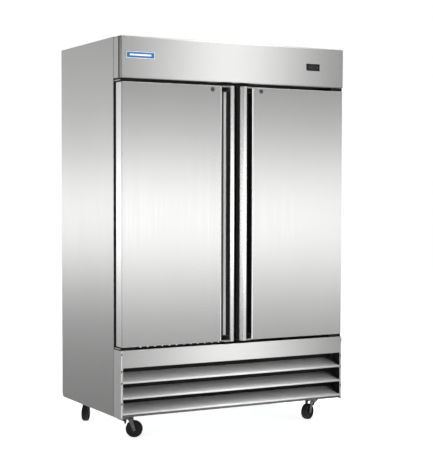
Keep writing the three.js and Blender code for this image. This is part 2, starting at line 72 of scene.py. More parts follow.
# ------------------------------------------------------------------ materials
def nodes_of(name, colour, rough, metal=0.0):
    mat = bpy.data.materials.new(name)
    mat.use_nodes = True
    tree = mat.node_tree
    shader = tree.nodes["Principled BSDF"]
    shader.inputs["Base Color"].default_value = (*colour, 1)
    shader.inputs["Roughness"].default_value = rough
    shader.inputs["Metallic"].default_value = metal
    return mat, tree, shader


def add(tree, kind, **values):
    node = tree.nodes.new(kind)
    for key, value in values.items():
        if key.startswith("in_"):
            node.inputs[key[3:].replace("_", " ")].default_value = value
        else:
            setattr(node, key, value)
    return node


def pattern(tree, scale, size, detail=3.0, rough=0.55):
    """Noise in object space, stretched by scale (x, y, z)."""
    coord = add(tree, "ShaderNodeTexCoord")
    mapping = add(tree, "ShaderNodeMapping")
    mapping.inputs["Scale"].default_value = scale
    noise = add(tree, "ShaderNodeTexNoise", in_Scale=size, in_Detail=detail, in_Roughness=rough)
    tree.links.new(coord.outputs["Object"], mapping.inputs["Vector"])
    tree.links.new(mapping.outputs["Vector"], noise.inputs["Vector"])
    return noise.outputs["Fac"]


def remap(tree, fac, low, high, from_low=0.3, from_high=0.7):
    node = add(tree, "ShaderNodeMapRange")
    node.inputs["From Min"].default_value = from_low
    node.inputs["From Max"].default_value = from_high
    node.inputs["To Min"].default_value = low
    node.inputs["To Max"].default_value = high
    tree.links.new(fac, node.inputs["Value"])
    return node.outputs["Result"]


def tint(tree, fac, dark, light, from_low=0.3, from_high=0.7):
    ramp = add(tree, "ShaderNodeValToRGB")
    ramp.color_ramp.elements[0].position = from_low
    ramp.color_ramp.elements[1].position = from_high
    ramp.color_ramp.elements[0].color = (*dark, 1)
    ramp.color_ramp.elements[1].color = (*light, 1)
    tree.links.new(fac, ramp.inputs["Fac"])
    return ramp.outputs["Color"]


def multiply(tree, a, b):
    node = add(tree, "ShaderNodeMix", data_type="RGBA", blend_type="MULTIPLY")
    node.inputs["Factor"].default_value = 1
    tree.links.new(a, node.inputs[6])
    tree.links.new(b, node.inputs[7])
    return node.outputs[2]


def bump(tree, shader, fac, strength, distance):
    node = add(tree, "ShaderNodeBump", in_Strength=strength, in_Distance=distance)
    tree.links.new(fac, node.inputs["Height"])
    tree.links.new(node.outputs["Normal"], shader.inputs["Normal"])


def shade(colour, factor):
    return tuple(min(1.0, c * factor) for c in colour)


STREAK = {"Z": (1, 1, 0.012), "X": (0.012, 1, 1)}      # stretch of the noise, by grain


def brushed(name, grain, colour=(0.66, 0.66, 0.655), rough=0.26, stretch=0.93, relief=0.035):
    """Brushed sheet steel with its grain along one axis: fine streaks, soft handling marks."""
    mat, tree, shader = nodes_of(name, colour, rough, 1.0)
    fine = pattern(tree, STREAK[grain], 900, 4.0)
    broad = pattern(tree, STREAK[grain], 90, 3.0)
    marks = pattern(tree, (1, 1, 0.6), 3.2, 5.0, 0.6)
    grainy = tint(tree, fine, shade(colour, 0.975), shade(colour, 1.02))
    cloudy = tint(tree, marks, (0.975, 0.975, 0.975), (1, 1, 1))
    streaky = tint(tree, broad, (0.985, 0.985, 0.985), (1, 1, 1))
    tree.links.new(multiply(tree, multiply(tree, grainy, cloudy), streaky), shader.inputs["Base Color"])
    tree.links.new(remap(tree, broad, rough - 0.012, rough + 0.012), shader.inputs["Roughness"])
    shader.inputs["Anisotropic"].default_value = stretch
    if grain == "Z":
        tangent = add(tree, "ShaderNodeTangent", direction_type="RADIAL", axis="Z")
        tree.links.new(tangent.outputs["Tangent"], shader.inputs["Tangent"])
    else:
        tangent = add(tree, "ShaderNodeCombineXYZ", in_Z=1.0)
        tree.links.new(tangent.outputs["Vector"], shader.inputs["Tangent"])
    bump(tree, shader, fine, relief, 0.00004)
    return mat


def plain_metal(name, colour, rough, size, spread, relief):
    """Plated, galvanised or mill-finish metal: a cloudy finish with a fine tooth."""
    mat, tree, shader = nodes_of(name, colour, rough, 1.0)
    cloud = pattern(tree, (1, 1, 1), size, 5.0, 0.6)
    tooth = pattern(tree, (1, 1, 1), 1400, 2.0)
    tree.links.new(tint(tree, cloud, shade(colour, 0.82), shade(colour, 1.12)), shader.inputs["Base Color"])
    tree.links.new(remap(tree, cloud, rough - spread, rough + spread), shader.inputs["Roughness"])
    bump(tree, shader, tooth, relief, 0.00005)
    return mat


def spangle(name, colour, rough):
    """Hot-dip galvanised sheet with its patchwork of zinc crystals."""
    mat, tree, shader = nodes_of(name, colour, rough, 0.95)
    coord = add(tree, "ShaderNodeTexCoord")
    cells = add(tree, "ShaderNodeTexVoronoi", in_Scale=75.0, in_Randomness=1.0)
    tree.links.new(coord.outputs["Object"], cells.inputs["Vector"])
    split = add(tree, "ShaderNodeSeparateColor")
    tree.links.new(cells.outputs["Color"], split.inputs["Color"])
    one = split.outputs["Red"]
    patchy = tint(tree, one, shade(colour, 0.86), shade(colour, 1.1), 0.0, 1.0)
    tree.links.new(patchy, shader.inputs["Base Color"])
    tree.links.new(remap(tree, one, rough - 0.1, rough + 0.1, 0, 1), shader.inputs["Roughness"])
    return mat


def moulded(name, colour, rough, grain=0.25, size=900, scuff=0.5):
    """Moulded plastic or rubber: fine texture, faint scuffs that lighten and roughen it."""
    mat, tree, shader = nodes_of(name, colour, rough)
    leather = pattern(tree, (1, 1, 1), size, 3.0)
    scuffs = pattern(tree, (1, 1, 1), 26, 6.0, 0.7)
    lighter = tuple(c + 0.02 * scuff for c in shade(colour, 1 + scuff))
    tree.links.new(tint(tree, scuffs, colour, lighter, 0.5, 0.8), shader.inputs["Base Color"])
    tree.links.new(remap(tree, scuffs, rough - 0.05, rough + 0.08), shader.inputs["Roughness"])
    bump(tree, shader, leather, grain, 0.00008)
    return mat


def make_materials():
    return {
        "steel_upright": brushed("steel_upright", "Z"),
        # horizontal-grain steel with a darker colour than steel_upright: painted shade on the header, top
        # panel and fascia
        "steel_across_painted_shade": brushed("steel_across_painted_shade", "X", (0.53, 0.53, 0.526)),
        # the door steel with a much lighter colour: painted highlight for the lit door sides, the pull rib
        # and the grille flange fronts
        "steel_painted_highlight": brushed("steel_painted_highlight", "Z", (0.93, 0.93, 0.925), 0.24),
        # louvre steel with a lighter colour than steel_upright: painted light on the blades
        "steel_blade_painted_light": brushed("steel_blade_painted_light", "X", (0.76, 0.76, 0.755), 0.36, 1.0),
        # brushed steel made near black: painted shade on the grille's bottom rail and the pull's sloped
        # floor
        "steel_painted_shade": brushed("steel_painted_shade", "X", (0.16, 0.16, 0.158), 0.36),
        # light plastic-like colour: painted highlight on the recess floor strip and on the folds at the
        # recess edge
        "pull_painted_highlight": moulded("pull_painted_highlight", (0.84, 0.84, 0.83), 0.35, 0.05, 900, 0.02),
        "shadow_black": moulded("shadow_black", (0.0035, 0.0032, 0.003), 0.7, 0.1, 900, 0.1),
        # mid grey: painted highlight strips down the grille flanges
        "flange_painted_highlight": moulded("flange_painted_highlight", (0.42, 0.42, 0.42), 0.5, 0.4, 900, 0.02),
        "nickel": plain_metal("nickel", (0.16, 0.16, 0.165), 0.34, 30, 0.04, 0.05),
        "galvanised": spangle("galvanised", (0.55, 0.57, 0.58), 0.45),
        "aluminium": plain_metal("aluminium", (0.72, 0.73, 0.74), 0.38, 9, 0.05, 0.15),
        # plated caster steel with a darker colour than bright_zinc: painted shade on the caster plates and
        # forks under the cabinet
        "zinc": plain_metal("zinc", (0.27, 0.27, 0.275), 0.40, 60, 0.08, 0.3),
        "bright_zinc": plain_metal("bright_zinc", (0.52, 0.53, 0.54), 0.28, 60, 0.06, 0.2),
        "copper": plain_metal("copper", (0.72, 0.36, 0.22), 0.28, 25, 0.08, 0.1),
        "black_plastic": moulded("black_plastic", (0.013, 0.012, 0.011), 0.42),
        "black_paint": moulded("black_paint", (0.014, 0.014, 0.015), 0.30, 0.15, 350, 0.3),
        "gasket_rubber": moulded("gasket_rubber", (0.016, 0.015, 0.015), 0.62, 0.2),
        # black rubber made darker still: partly the tyre's own black, partly painted shade under the cabinet
        "wheel_rubber": moulded("wheel_rubber", (0.003, 0.0028, 0.0027), 0.6, 0.3, 600, 0.05),
        "wheel_core": moulded("wheel_core", (0.006, 0.006, 0.0062), 0.5, 0.25, 900, 0.1),
        "white_plastic": moulded("white_plastic", (0.62, 0.63, 0.62), 0.38, 0.2, 900, 0.05),
        "lamp_cover": moulded("lamp_cover", (0.80, 0.81, 0.80), 0.25, 0.1, 400, 0.02),
        "foam": moulded("foam", (0.62, 0.50, 0.24), 0.9, 0.8, 220, 0.2),
        "shelf_coat": moulded("shelf_coat", (0.66, 0.67, 0.66), 0.33, 0.15, 500, 0.03),
        "display": moulded("display", (0.006, 0.006, 0.007), 0.12, 0.02, 500, 0.1),
        "lamp_dim": moulded("lamp_dim", (0.11, 0.09, 0.085), 0.3, 0.1, 400, 0.02),
        "badge": moulded("badge", (0.03, 0.12, 0.30), 0.25, 0.05, 500, 0.15),
        "badge_rim": moulded("badge_rim", (0.72, 0.77, 0.82), 0.3, 0.05, 500, 0.03),
        "filter_mesh": moulded("filter_mesh", (0.006, 0.006, 0.006), 0.85, 1.0, 420, 0.1),
        "wire_jacket": moulded("wire_jacket", (0.03, 0.03, 0.032), 0.5),
    }


M = make_materials()


# ------------------------------------------------------------------ mesh helpers
FLAT_AREA = 9e-4                              # faces larger than this are flat sheet


def shade_mesh(mesh, smooth=35):
    """Smooth over folds up to an angle, with broad flat faces kept truly flat."""
    mesh.set_sharp_from_angle(angle=math.radians(smooth))
    for face in mesh.polygons:
        face.use_smooth = face.area < FLAT_AREA


def paint(obj, material, chosen):
    """Gives a second material to the faces for which chosen(face) holds."""
    obj.data.materials.append(M[material])
    index = len(obj.data.materials) - 1
    for face in obj.data.polygons:
        if chosen(face):
            face.material_index = index


def finish_mesh(name, bm, material, body="cabinet", smooth=35, replace=()):
    """Turns a bmesh into a piece: welded, outward-facing, smooth up to an angle, riding a body."""
    bmesh.ops.remove_doubles(bm, verts=bm.verts, dist=1e-6)
    bmesh.ops.recalc_face_normals(bm, faces=bm.faces)
    mesh = bpy.data.meshes.new(name)
    bm.to_mesh(mesh)
    bm.free()
    shade_mesh(mesh, smooth)
    obj = bpy.data.objects.new(name, mesh)
    bpy.context.collection.objects.link(obj)
    obj.data.materials.append(M[material])
    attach(obj, body)
    if replace:
        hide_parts(*replace)
    return obj


def box_into(bm, lo, hi, bevel=0.0, segments=2):
    """A box with rounded edges."""
    lo, hi = Vector(lo), Vector(hi)
    made = bmesh.ops.create_cube(bm, size=1.0)["verts"]
    centre, size = (lo + hi) / 2, hi - lo
    for v in made:
        v.co = centre + Vector((v.co.x * size.x, v.co.y * size.y, v.co.z * size.z))
    if bevel:
        edges = list({e for v in made for e in v.link_edges})
        bmesh.ops.bevel(bm, geom=edges, offset=min(bevel, min(size) * 0.45), segments=segments,
                        profile=0.5, affect="EDGES")


def turned_box_into(bm, matrix, lo, hi, bevel):
    """A box moved and turned by a matrix."""
    before = set(bm.verts)
    box_into(bm, lo, hi, bevel)
    bmesh.ops.transform(bm, matrix=matrix, verts=[v for v in bm.verts if v not in before])


def bevel_along(bm, axis, radius, segments):
    """Rounds every edge of the mesh that runs along one axis."""
    edges = [e for e in bm.edges
             if abs(getattr((e.verts[0].co - e.verts[1].co).normalized(), axis)) > 0.9]
    bmesh.ops.bevel(bm, geom=edges, offset=radius, segments=segments, profile=0.5, affect="EDGES")


def bridge_rings(bm, low, high):
    """Faces between two closed rings with as many vertices each."""
    count = len(low)
    for i in range(count):
        j = (i + 1) % count
        bm.faces.new([low[i], low[j], high[j], high[i]])


def frame_matrix(axis, centre):
    """A matrix that lays local Z along an axis (letter or vector) at a centre."""
    letters = {"x": Vector((1, 0, 0)), "y": Vector((0, 1, 0)), "z": Vector((0, 0, 1))}
    direction = letters[axis] if isinstance(axis, str) else Vector(axis)
    turn = Vector((0, 0, 1)).rotation_difference(direction.normalized()).to_matrix().to_4x4()
    return Matrix.Translation(Vector(centre)) @ turn


def spin_into(bm, profile, matrix, steps=32, closed=False):
    """A body of revolution about local Z from (radius, height) points, or a ring where it is closed."""
    rings = []
    for radius, height in profile:
        if radius < 1e-7:
            rings.append([bm.verts.new(matrix @ Vector((0, 0, height)))])
            continue
        ring = []
        for i in range(steps):
            a = 2 * math.pi * i / steps
            ring.append(bm.verts.new(matrix @ Vector((radius * math.cos(a), radius * math.sin(a), height))))
        rings.append(ring)
    pairs = list(zip(rings, rings[1:]))
    if closed:
        pairs.append((rings[-1], rings[0]))
    for low, high in pairs:
        for i in range(steps):
            j = (i + 1) % steps
            corners = [low[i % len(low)], low[j % len(low)], high[j % len(high)], high[i % len(high)]]
            corners = list(dict.fromkeys(corners))
            if len(corners) > 2:
                bm.faces.new(corners)


def rod_into(bm, centre, axis, radius, length, steps=28):
    half = length / 2
    profile = [(0, -half), (radius, -half), (radius, half), (0, half)]
    spin_into(bm, profile, frame_matrix(axis, centre), steps)


def rounded(points, radius, steps=5):
    """An open 2D path with its inner corners rounded; radius is one value or one per corner."""
    radii = radius if isinstance(radius, (list, tuple)) else [radius] * (len(points) - 2)
    out = [Vector(points[0])]
    for before, corner, after, r in zip(points, points[1:], points[2:], radii):
        before, corner, after = Vector(before), Vector(corner), Vector(after)
        into, away = (corner - before), (after - corner)
        turn = into.angle(away)
        if r < 1e-6 or turn < 1e-3:
            out.append(corner)
            continue
        reach = min(r * math.tan(turn / 2), into.length * 0.48, away.length * 0.48)
        r = reach / math.tan(turn / 2)
        into.normalize()
        away.normalize()
        start, end = corner - into * reach, corner + away * reach
        side = 1 if into.x * away.y - into.y * away.x > 0 else -1
        centre = start + Vector((-into.y, into.x)) * r * side
        a0 = math.atan2(start.y - centre.y, start.x - centre.x)
        for i in range(steps + 1):
            a = a0 + side * turn * i / steps
            out.append(centre + Vector((math.cos(a), math.sin(a))) * r)
        out[-1] = end
    out.append(Vector(points[-1]))
    return out


def sheet_outline(points, radius, thickness, steps=5):
    """The closed section of a folded sheet: one face follows the path, the sheet lies to its left."""
    path = rounded(points, radius, steps)
    offset = []
    for i, p in enumerate(path):
        ahead = path[min(i + 1, len(path) - 1)] - path[max(i - 1, 0)]
        if 0 < i < len(path) - 1:
            a, b = (p - path[i - 1]).normalized(), (path[i + 1] - p).normalized()
            ahead = a + b
            stretch = 1 / max(0.5, math.cos(a.angle(b) / 2))
        else:
            stretch = 1
        ahead = ahead.normalized()
        offset.append(p + Vector((-ahead.y, ahead.x)) * thickness * stretch)
    return path + offset[::-1]


PLANES = {
    "xy": lambda a, b, d: Vector((a, b, d)),
    "yz": lambda a, b, d: Vector((d, a, b)),
    "xz": lambda a, b, d: Vector((a, d, b)),
}


def loft_into(bm, ring_a, ring_b):
    """A closed solid between two rings of the same number of 3D points."""
    a, b = ([bm.verts.new(point) for point in ring] for ring in (ring_a, ring_b))
    bridge_rings(bm, a, b)
    bmesh.ops.triangulate(bm, faces=[bm.faces.new(a[::-1]), bm.faces.new(b)])


def extrude_into(bm, outline, plane, low, high):
    """A closed 2D outline pushed along the axis square to its plane."""
    place = PLANES[plane]
    loft_into(bm, *([place(p[0], p[1], d) for p in outline] for d in (low, high)))


def mirror_x(points, side):
    """Plan points of the right-hand side, mirrored for the left, still turning the same way."""
    return list(points) if side > 0 else [(-p[0], p[1]) for p in reversed(list(points))]


def tray_into(bm, lo, hi, radius, segments=4):
    """A sheet-metal pan: a box open at the back, with rounded folds and the sheet's thickness."""
    box_into(bm, lo, hi)
    back = [f for f in bm.faces if f.normal.y > 0.9]
    bmesh.ops.delete(bm, geom=back, context="FACES")
    folds = [e for e in bm.edges if len(e.link_faces) == 2]
    bmesh.ops.bevel(bm, geom=folds, offset=radius, segments=segments, profile=0.5, affect="EDGES")
    bmesh.ops.recalc_face_normals(bm, faces=bm.faces)
    inside = Vector(lo) * 0.5 + Vector(hi) * 0.5
    flip = [f for f in bm.faces if (f.calc_center_median() - inside).dot(f.normal) < 0]
    if len(flip) > len(bm.faces) / 2:
        bmesh.ops.reverse_faces(bm, faces=bm.faces)
    bmesh.ops.solidify(bm, geom=list(bm.faces), thickness=SHEET)


def carve(obj, cutters):
    """Cuts bmesh-built shapes out of a piece, then removes them."""
    for make in cutters:
        bm = bmesh.new()
        make(bm)
        bmesh.ops.recalc_face_normals(bm, faces=bm.faces)
        mesh = bpy.data.meshes.new("cutter")
        bm.to_mesh(mesh)
        bm.free()
        tool = bpy.data.objects.new("cutter", mesh)
        bpy.context.collection.objects.link(tool)
        modifier = obj.modifiers.new("cut", "BOOLEAN")
        modifier.object = tool
        modifier.operation = "DIFFERENCE"
        modifier.solver = "EXACT"
        apply_modifiers(obj)
        bpy.data.objects.remove(tool)
        bpy.data.meshes.remove(mesh)


def apply_modifiers(obj):
    graph = bpy.context.evaluated_depsgraph_get()
    mesh = bpy.data.meshes.new_from_object(obj.evaluated_get(graph))
    old = obj.data
    obj.modifiers.clear()
    obj.data = mesh
    mesh.name = obj.name
    bpy.data.meshes.remove(old)


def tube_into(bm, points, radius, sides=12):
    """A round tube along a smooth path of 3D points, with closed ends."""
    points = [Vector(p) for p in points]
    normal = None
    rings = []
    for i, p in enumerate(points):
        ahead = (points[min(i + 1, len(points) - 1)] - points[max(i - 1, 0)]).normalized()
        if normal is None:
            normal = ahead.orthogonal().normalized()
        normal = (normal - ahead * normal.dot(ahead)).normalized()
        across = ahead.cross(normal)
        rings.append([bm.verts.new(p + (normal * math.cos(a) + across * math.sin(a)) * radius)
                      for a in (2 * math.pi * k / sides for k in range(sides))])
    for low, high in zip(rings, rings[1:]):
        bridge_rings(bm, low, high)
    bm.faces.new(rings[0][::-1])
    bm.faces.new(rings[-1])


def smooth_path(points, radius=0.02, steps=5):
    """A 3D path with rounded corners."""
    points = [Vector(p) for p in points]
    out = [points[0]]
    for before, corner, after in zip(points, points[1:], points[2:]):
        into, away = (corner - before), (after - corner)
        turn = into.angle(away)
        if turn < 1e-3:
            out.append(corner)
            continue
        reach = min(radius * math.tan(turn / 2), into.length * 0.45, away.length * 0.45)
        start, end = corner - into.normalized() * reach, corner + away.normalized() * reach
        for i in range(steps + 1):
            t = i / steps
            out.append(start * (1 - t) ** 2 + corner * 2 * t * (1 - t) + end * t * t)
    out.append(points[-1])
    return out


def screw_into(bm, centre, axis, radius, height):
    """A pan-head screw with a round recess in its head; axis points out of the head."""
    m = frame_matrix(axis, centre)
    dome = [(0.0, height * 0.45), (radius * 0.30, height * 0.45), (radius * 0.34, height)]
    dome += [(radius * math.sin(a), height * math.cos(a * 0.9))
             for a in (0.55, 0.8, 1.05, 1.3, math.pi / 2)]
    dome += [(radius, 0.0), (0.0, 0.0)]
    spin_into(bm, dome, m, 16)


def hex_into(bm, centre, axis, flats, height, bore=True):
    """A hexagon nut with chamfered corners, and the bolt's end where bore; axis points out of it."""
    m = frame_matrix(axis, centre)
    r = flats / math.sqrt(3)
    rings = []
    for scale, z in ((1, 0), (1, height * 0.8), (0.86, height)):
        rings.append([bm.verts.new(m @ Vector((r * scale * math.cos(a), r * scale * math.sin(a), z)))
                      for a in (math.pi * k / 3 for k in range(6))])
    for low, high in zip(rings, rings[1:]):
        bridge_rings(bm, low, high)
    bm.faces.new(rings[0][::-1])
    bm.faces.new(rings[-1])
    if bore:
        stud = [(0, height * 0.9), (r * 0.5, height * 0.9), (r * 0.5, height * 1.25), (0, height * 1.3)]
        spin_into(bm, stud, m, 14)


def dress(node, material, bevel, segments=2):
    """A CAD node that keeps its shape: flat faces rejoined, edges rounded, and a finished material."""
    obj = frame["nodes"][node]
    weld = obj.modifiers.new("weld", "WELD")
    weld.merge_threshold = 1e-5
    planar = obj.modifiers.new("planar", "DECIMATE")
    planar.decimate_type = "DISSOLVE"
    planar.angle_limit = math.radians(1.0)
    if bevel:
        edge = obj.modifiers.new("edge", "BEVEL")
        edge.width = bevel
        edge.segments = segments
        edge.limit_method = "ANGLE"
        edge.angle_limit = math.radians(30)
        edge.harden_normals = False
    obj.data.materials.clear()
    obj.data.materials.append(M[material])
    for face in obj.data.polygons:
        face.use_smooth = True
    smooth = obj.modifiers.new("smooth", "EDGE_SPLIT")
    smooth.split_angle = math.radians(35)


def span(side, near, far):
    """The range of X from near to far on one side of the middle, lower end first."""
    return (-far, -near) if side < 0 else (near, far)


def box_cutter(lo, hi):
    return lambda bm: box_into(bm, lo, hi)


def rod_cutter(centre, axis, radius, length):
    return lambda bm: rod_into(bm, centre, axis, radius, length)


def joint_at(name):
    return Vector(JOINTS[name]["pos_m"])


def spaced(low, high, count):
    """Evenly spaced values, both ends included."""
    return [low + i * (high - low) / (count - 1) for i in range(count)]


def four(centre_x, centre_y, dx, dy):
    """The corners of a rectangle about a centre."""
    return [(centre_x + sx * dx, centre_y + sy * dy) for sx in (-1, 1) for sy in (-1, 1)]


def in_mm(points):
    return [tuple(value * MM for value in point) for point in points]


JOINTS = {joint["name"]: joint for joint in frame["joints"]}
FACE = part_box("header_cover")[0].y            # plane of the doors, header and grille
SHEET = 1.2 * MM
FOLD = 2.6 * MM                               # outside radius of the sheet's folds
PAN_FOLD = 5 * MM                             # the softer corners of the door pans
HEADER_FOLD = 9 * MM                          # and of the header box
SEAM = 5 * MM                                 # shadow gap between the front boxes and the side panels
CAM_SLOT = (FACE + 23 * MM, FACE + 32 * MM)   # front and back of the slots for the lock cams


# ------------------------------------------------------------------ doors
def door_pan(word, side):
    lo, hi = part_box(f"door_pan_{word}")
    pivot, lock_at = joint_at(f"door_{word}_hinge"), joint_at(f"lock_{word}_turn")
    bm = bmesh.new()
    tray_into(bm, lo, hi, PAN_FOLD)
    pan = finish_mesh(f"door_face_{word}", bm, "steel_upright", f"door_{word}",
                      replace=[f"door_pan_{word}"])
    cam_x = span(side, abs(lock_at.x) - 46 * MM, abs(lock_at.x) + 12 * MM)
    cuts = [rod_cutter((lock_at.x, FACE, lock_at.z), "y", 9.8 * MM, 20 * MM),
            box_cutter((cam_x[0], CAM_SLOT[0], lock_at.z), (cam_x[1], CAM_SLOT[1], hi.z + 5 * MM))]
    cuts += [rod_cutter((pivot.x, pivot.y, z), "z", 6 * MM, 12 * MM) for z in (hi.z, lo.z)]
    carve(pan, cuts)
    shade_mesh(pan.data, 30)
    edge = min(abs(lo.x), abs(hi.x))
    # Painted highlight: the doors' outer side faces take the lighter steel, and the folds along the recess
    # edge take the light plastic-like colour.
    paint(pan, "steel_painted_highlight", lambda face: abs(face.normal.x) > 0.9 and abs(face.center.x) > 0.6)
    paint(pan, "pull_painted_highlight", lambda face: abs(face.center.x) < edge + PAN_FOLD
          and face.normal.y < -0.2 and face.area > 1e-4)


PULL_CREST = 28 * MM                          # |x| where the rib's bevel reaches its front
PULL_OUTER = 50.5 * MM                        # |x| of the rib's outer wall, where the recess begins
PULL_FLANGE = 66 * MM                         # |x| where the recess floor starts to slope
PULL_SLOPE = 81 * MM                          # |x| where the slope ends
PULL_SHEET = 1.5 * MM
PULL_FLOOR = 31 * MM                          # depth of the recess floor behind the door's face
PULL_STEP = 5 * MM                            # how much deeper the slope goes
PULL_WEB = 7 * MM                             # thickness of the recess's closed ends
PULL_COVE = 24 * MM                           # radius between a closed end and the floor
PULL_LIP = 0.8 * MM


def pull_web(x, front, floor, end, inward):
    """Section at one x through a closed end of the recess, coved into the floor."""
    deep = end + inward * (PULL_WEB + PULL_COVE)
    ring = [(front + PULL_LIP, end), (floor + PULL_SHEET, end), (floor + PULL_SHEET, deep), (floor, deep)]
    for a in spaced(math.pi / 16, math.pi / 2, 8):
        ring.append((floor - PULL_COVE * (1 - math.cos(a)),
                     end + inward * (PULL_WEB + PULL_COVE * (1 - math.sin(a)))))
    ring += [(front + PULL_LIP, end + inward * PULL_WEB), (front, end + inward * (PULL_WEB - PULL_LIP)),
             (front, end + inward * PULL_LIP)]
    return [Vector((x, y, z)) for y, z in ring]


def door_pull(word, side):
    """Folded full-height rib with a finger recess beside it, closed at both ends."""
    lo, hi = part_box(f"door_pull_{word}")
    inner, edge = sorted((abs(lo.x), abs(hi.x)))
    front, floor = lo.y, FACE + PULL_FLOOR
    path = [(inner, hi.y - 5 * MM), (inner, FACE), (PULL_CREST, front), (PULL_OUTER, front),
            (PULL_OUTER, floor), (PULL_FLANGE, floor), (PULL_SLOPE, floor + PULL_STEP)]
    section = sheet_outline(path, [r * MM for r in (2.5, 5, 3.2, 2, 3)], PULL_SHEET, 6)
    cap = [(inner + PULL_SHEET, FACE + PULL_SHEET), (PULL_CREST, front + PULL_SHEET),
           (PULL_OUTER - PULL_SHEET, front + PULL_SHEET), (PULL_OUTER - PULL_SHEET, floor),
           (inner + PULL_SHEET, floor)]
    bm = bmesh.new()
    extrude_into(bm, mirror_x(section, side), "xy", lo.z, hi.z)
    for end, inward in ((hi.z, -1), (lo.z, 1)):
        loft_into(bm, pull_web(side * (PULL_OUTER - 0.5 * MM), front + 1.5 * MM, floor, end, inward),
                  pull_web(side * edge, FACE + 0.3 * MM, floor, end, inward))
        extrude_into(bm, mirror_x(cap, side), "xy", *sorted((end, end + inward * PULL_SHEET)))
    # The rib is built in the lighter steel: painted highlight.
    pull = finish_mesh(f"pull_{word}", bm, "steel_painted_highlight", f"door_{word}",
                       replace=[f"door_pull_{word}"], smooth=28)
    # Painted shade: the faces of the closed ends inside the recess are near black.
    reach = PULL_WEB + PULL_COVE + 2 * MM
    # Painted highlight: the light strip on the recess floor beside the rib.
    paint(pull, "pull_painted_highlight", lambda face: PULL_OUTER + 0.5 * MM < abs(face.center.x) < PULL_FLANGE
          and face.normal.y < -0.8 and face.center.y > FACE)
    paint(pull, "shadow_black", lambda face: PULL_OUTER - MM < abs(face.center.x) < edge + MM
          and face.center.y > FACE + 0.4 * MM and min(hi.z - face.center.z, face.center.z - lo.z) < reach)
    # Painted shade: the sloped part of the recess floor is dark steel.
    paint(pull, "steel_painted_shade", lambda face: PULL_FLANGE < abs(face.center.x) < PULL_SLOPE + MM
          and face.normal.y < -0.5 and face.center.y > floor - MM)

    # Near-black strips on the rib's outer wall, the recess wall and the floor beyond the slope: partly the
    # grip's black plastic, partly painted shade of the deep recess.
    low, high = lo.z + PULL_WEB + PULL_COVE, hi.z - PULL_WEB - PULL_COVE
    bed = floor + PULL_STEP
    bm = bmesh.new()
    for near, far, y0, y1, bevel in (
            (PULL_OUTER - 0.2 * MM, PULL_OUTER + 0.9 * MM, front + 4 * MM, floor - 0.2 * MM, 0.4 * MM),
            (edge - 0.9 * MM, edge + 0.1 * MM, FACE + 3 * MM, bed, 0.3 * MM),
            (PULL_SLOPE - MM, edge - 0.5 * MM, bed - 0.4 * MM, bed + 1.2 * MM, 0.3 * MM)):
        x = span(side, near, far)
        box_into(bm, (x[0], y0, low), (x[1], y1, high), bevel)
    finish_mesh(f"pull_lining_and_shade_{word}", bm, "shadow_black", f"door_{word}")


# half of the gasket's bellows and back, as fractions of its width and thickness
BELLOWS = [(0, 0), (1, 0), (1, .2), (.86, .3), (.94, .45), (.83, .6), (1, .75), (1, .95), (.94, 1),
           (.06, 1), (0, .95), (0, .75), (.17, .6), (.06, .45), (.14, .3), (0, .2)]


def gasket(word):
    lo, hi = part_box(f"gasket_{word}")
    width, thick = 20 * MM, hi.y - lo.y
    bm = bmesh.new()
    rings = []
    for u, v in BELLOWS:
        x0, x1 = lo.x + u * width, hi.x - u * width
        z0, z1 = lo.z + u * width, hi.z - u * width
        y = lo.y + v * thick
        rings.append([bm.verts.new((x, y, z)) for x, z in ((x0, z0), (x1, z0), (x1, z1), (x0, z1))])
    for a, b in zip(rings, rings[1:] + rings[:1]):
        bridge_rings(bm, a, b)
    finish_mesh(f"seal_{word}", bm, "gasket_rubber", f"door_{word}", smooth=20,
                replace=[f"gasket_{word}"])


def inner_door_skin(word):
    """Panel with three embossed fields on the back of the door, inside the gasket."""
    lo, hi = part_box(f"gasket_{word}")
    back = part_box(f"door_liner_{word}")[1].y
    inset, margin, fields = 26 * MM, 40 * MM, 3
    x, z = (lo.x + inset, hi.x - inset), (lo.z + inset, hi.z - inset)
    bm = bmesh.new()
    box_into(bm, (x[0], back, z[0]), (x[1], back + 2.2 * MM, z[1]), 1.0 * MM, 3)
    height = (z[1] - z[0] - 2 * margin) / fields
    for i in range(fields):
        z0 = z[0] + margin + i * height
        box_into(bm, (x[0] + 45 * MM, back + 1.5 * MM, z0 + 12 * MM),
                 (x[1] - 45 * MM, back + 4.6 * MM, z0 + height - 12 * MM), 1.5 * MM, 3)
    finish_mesh(f"door_inner_skin_{word}", bm, "aluminium", f"door_{word}")


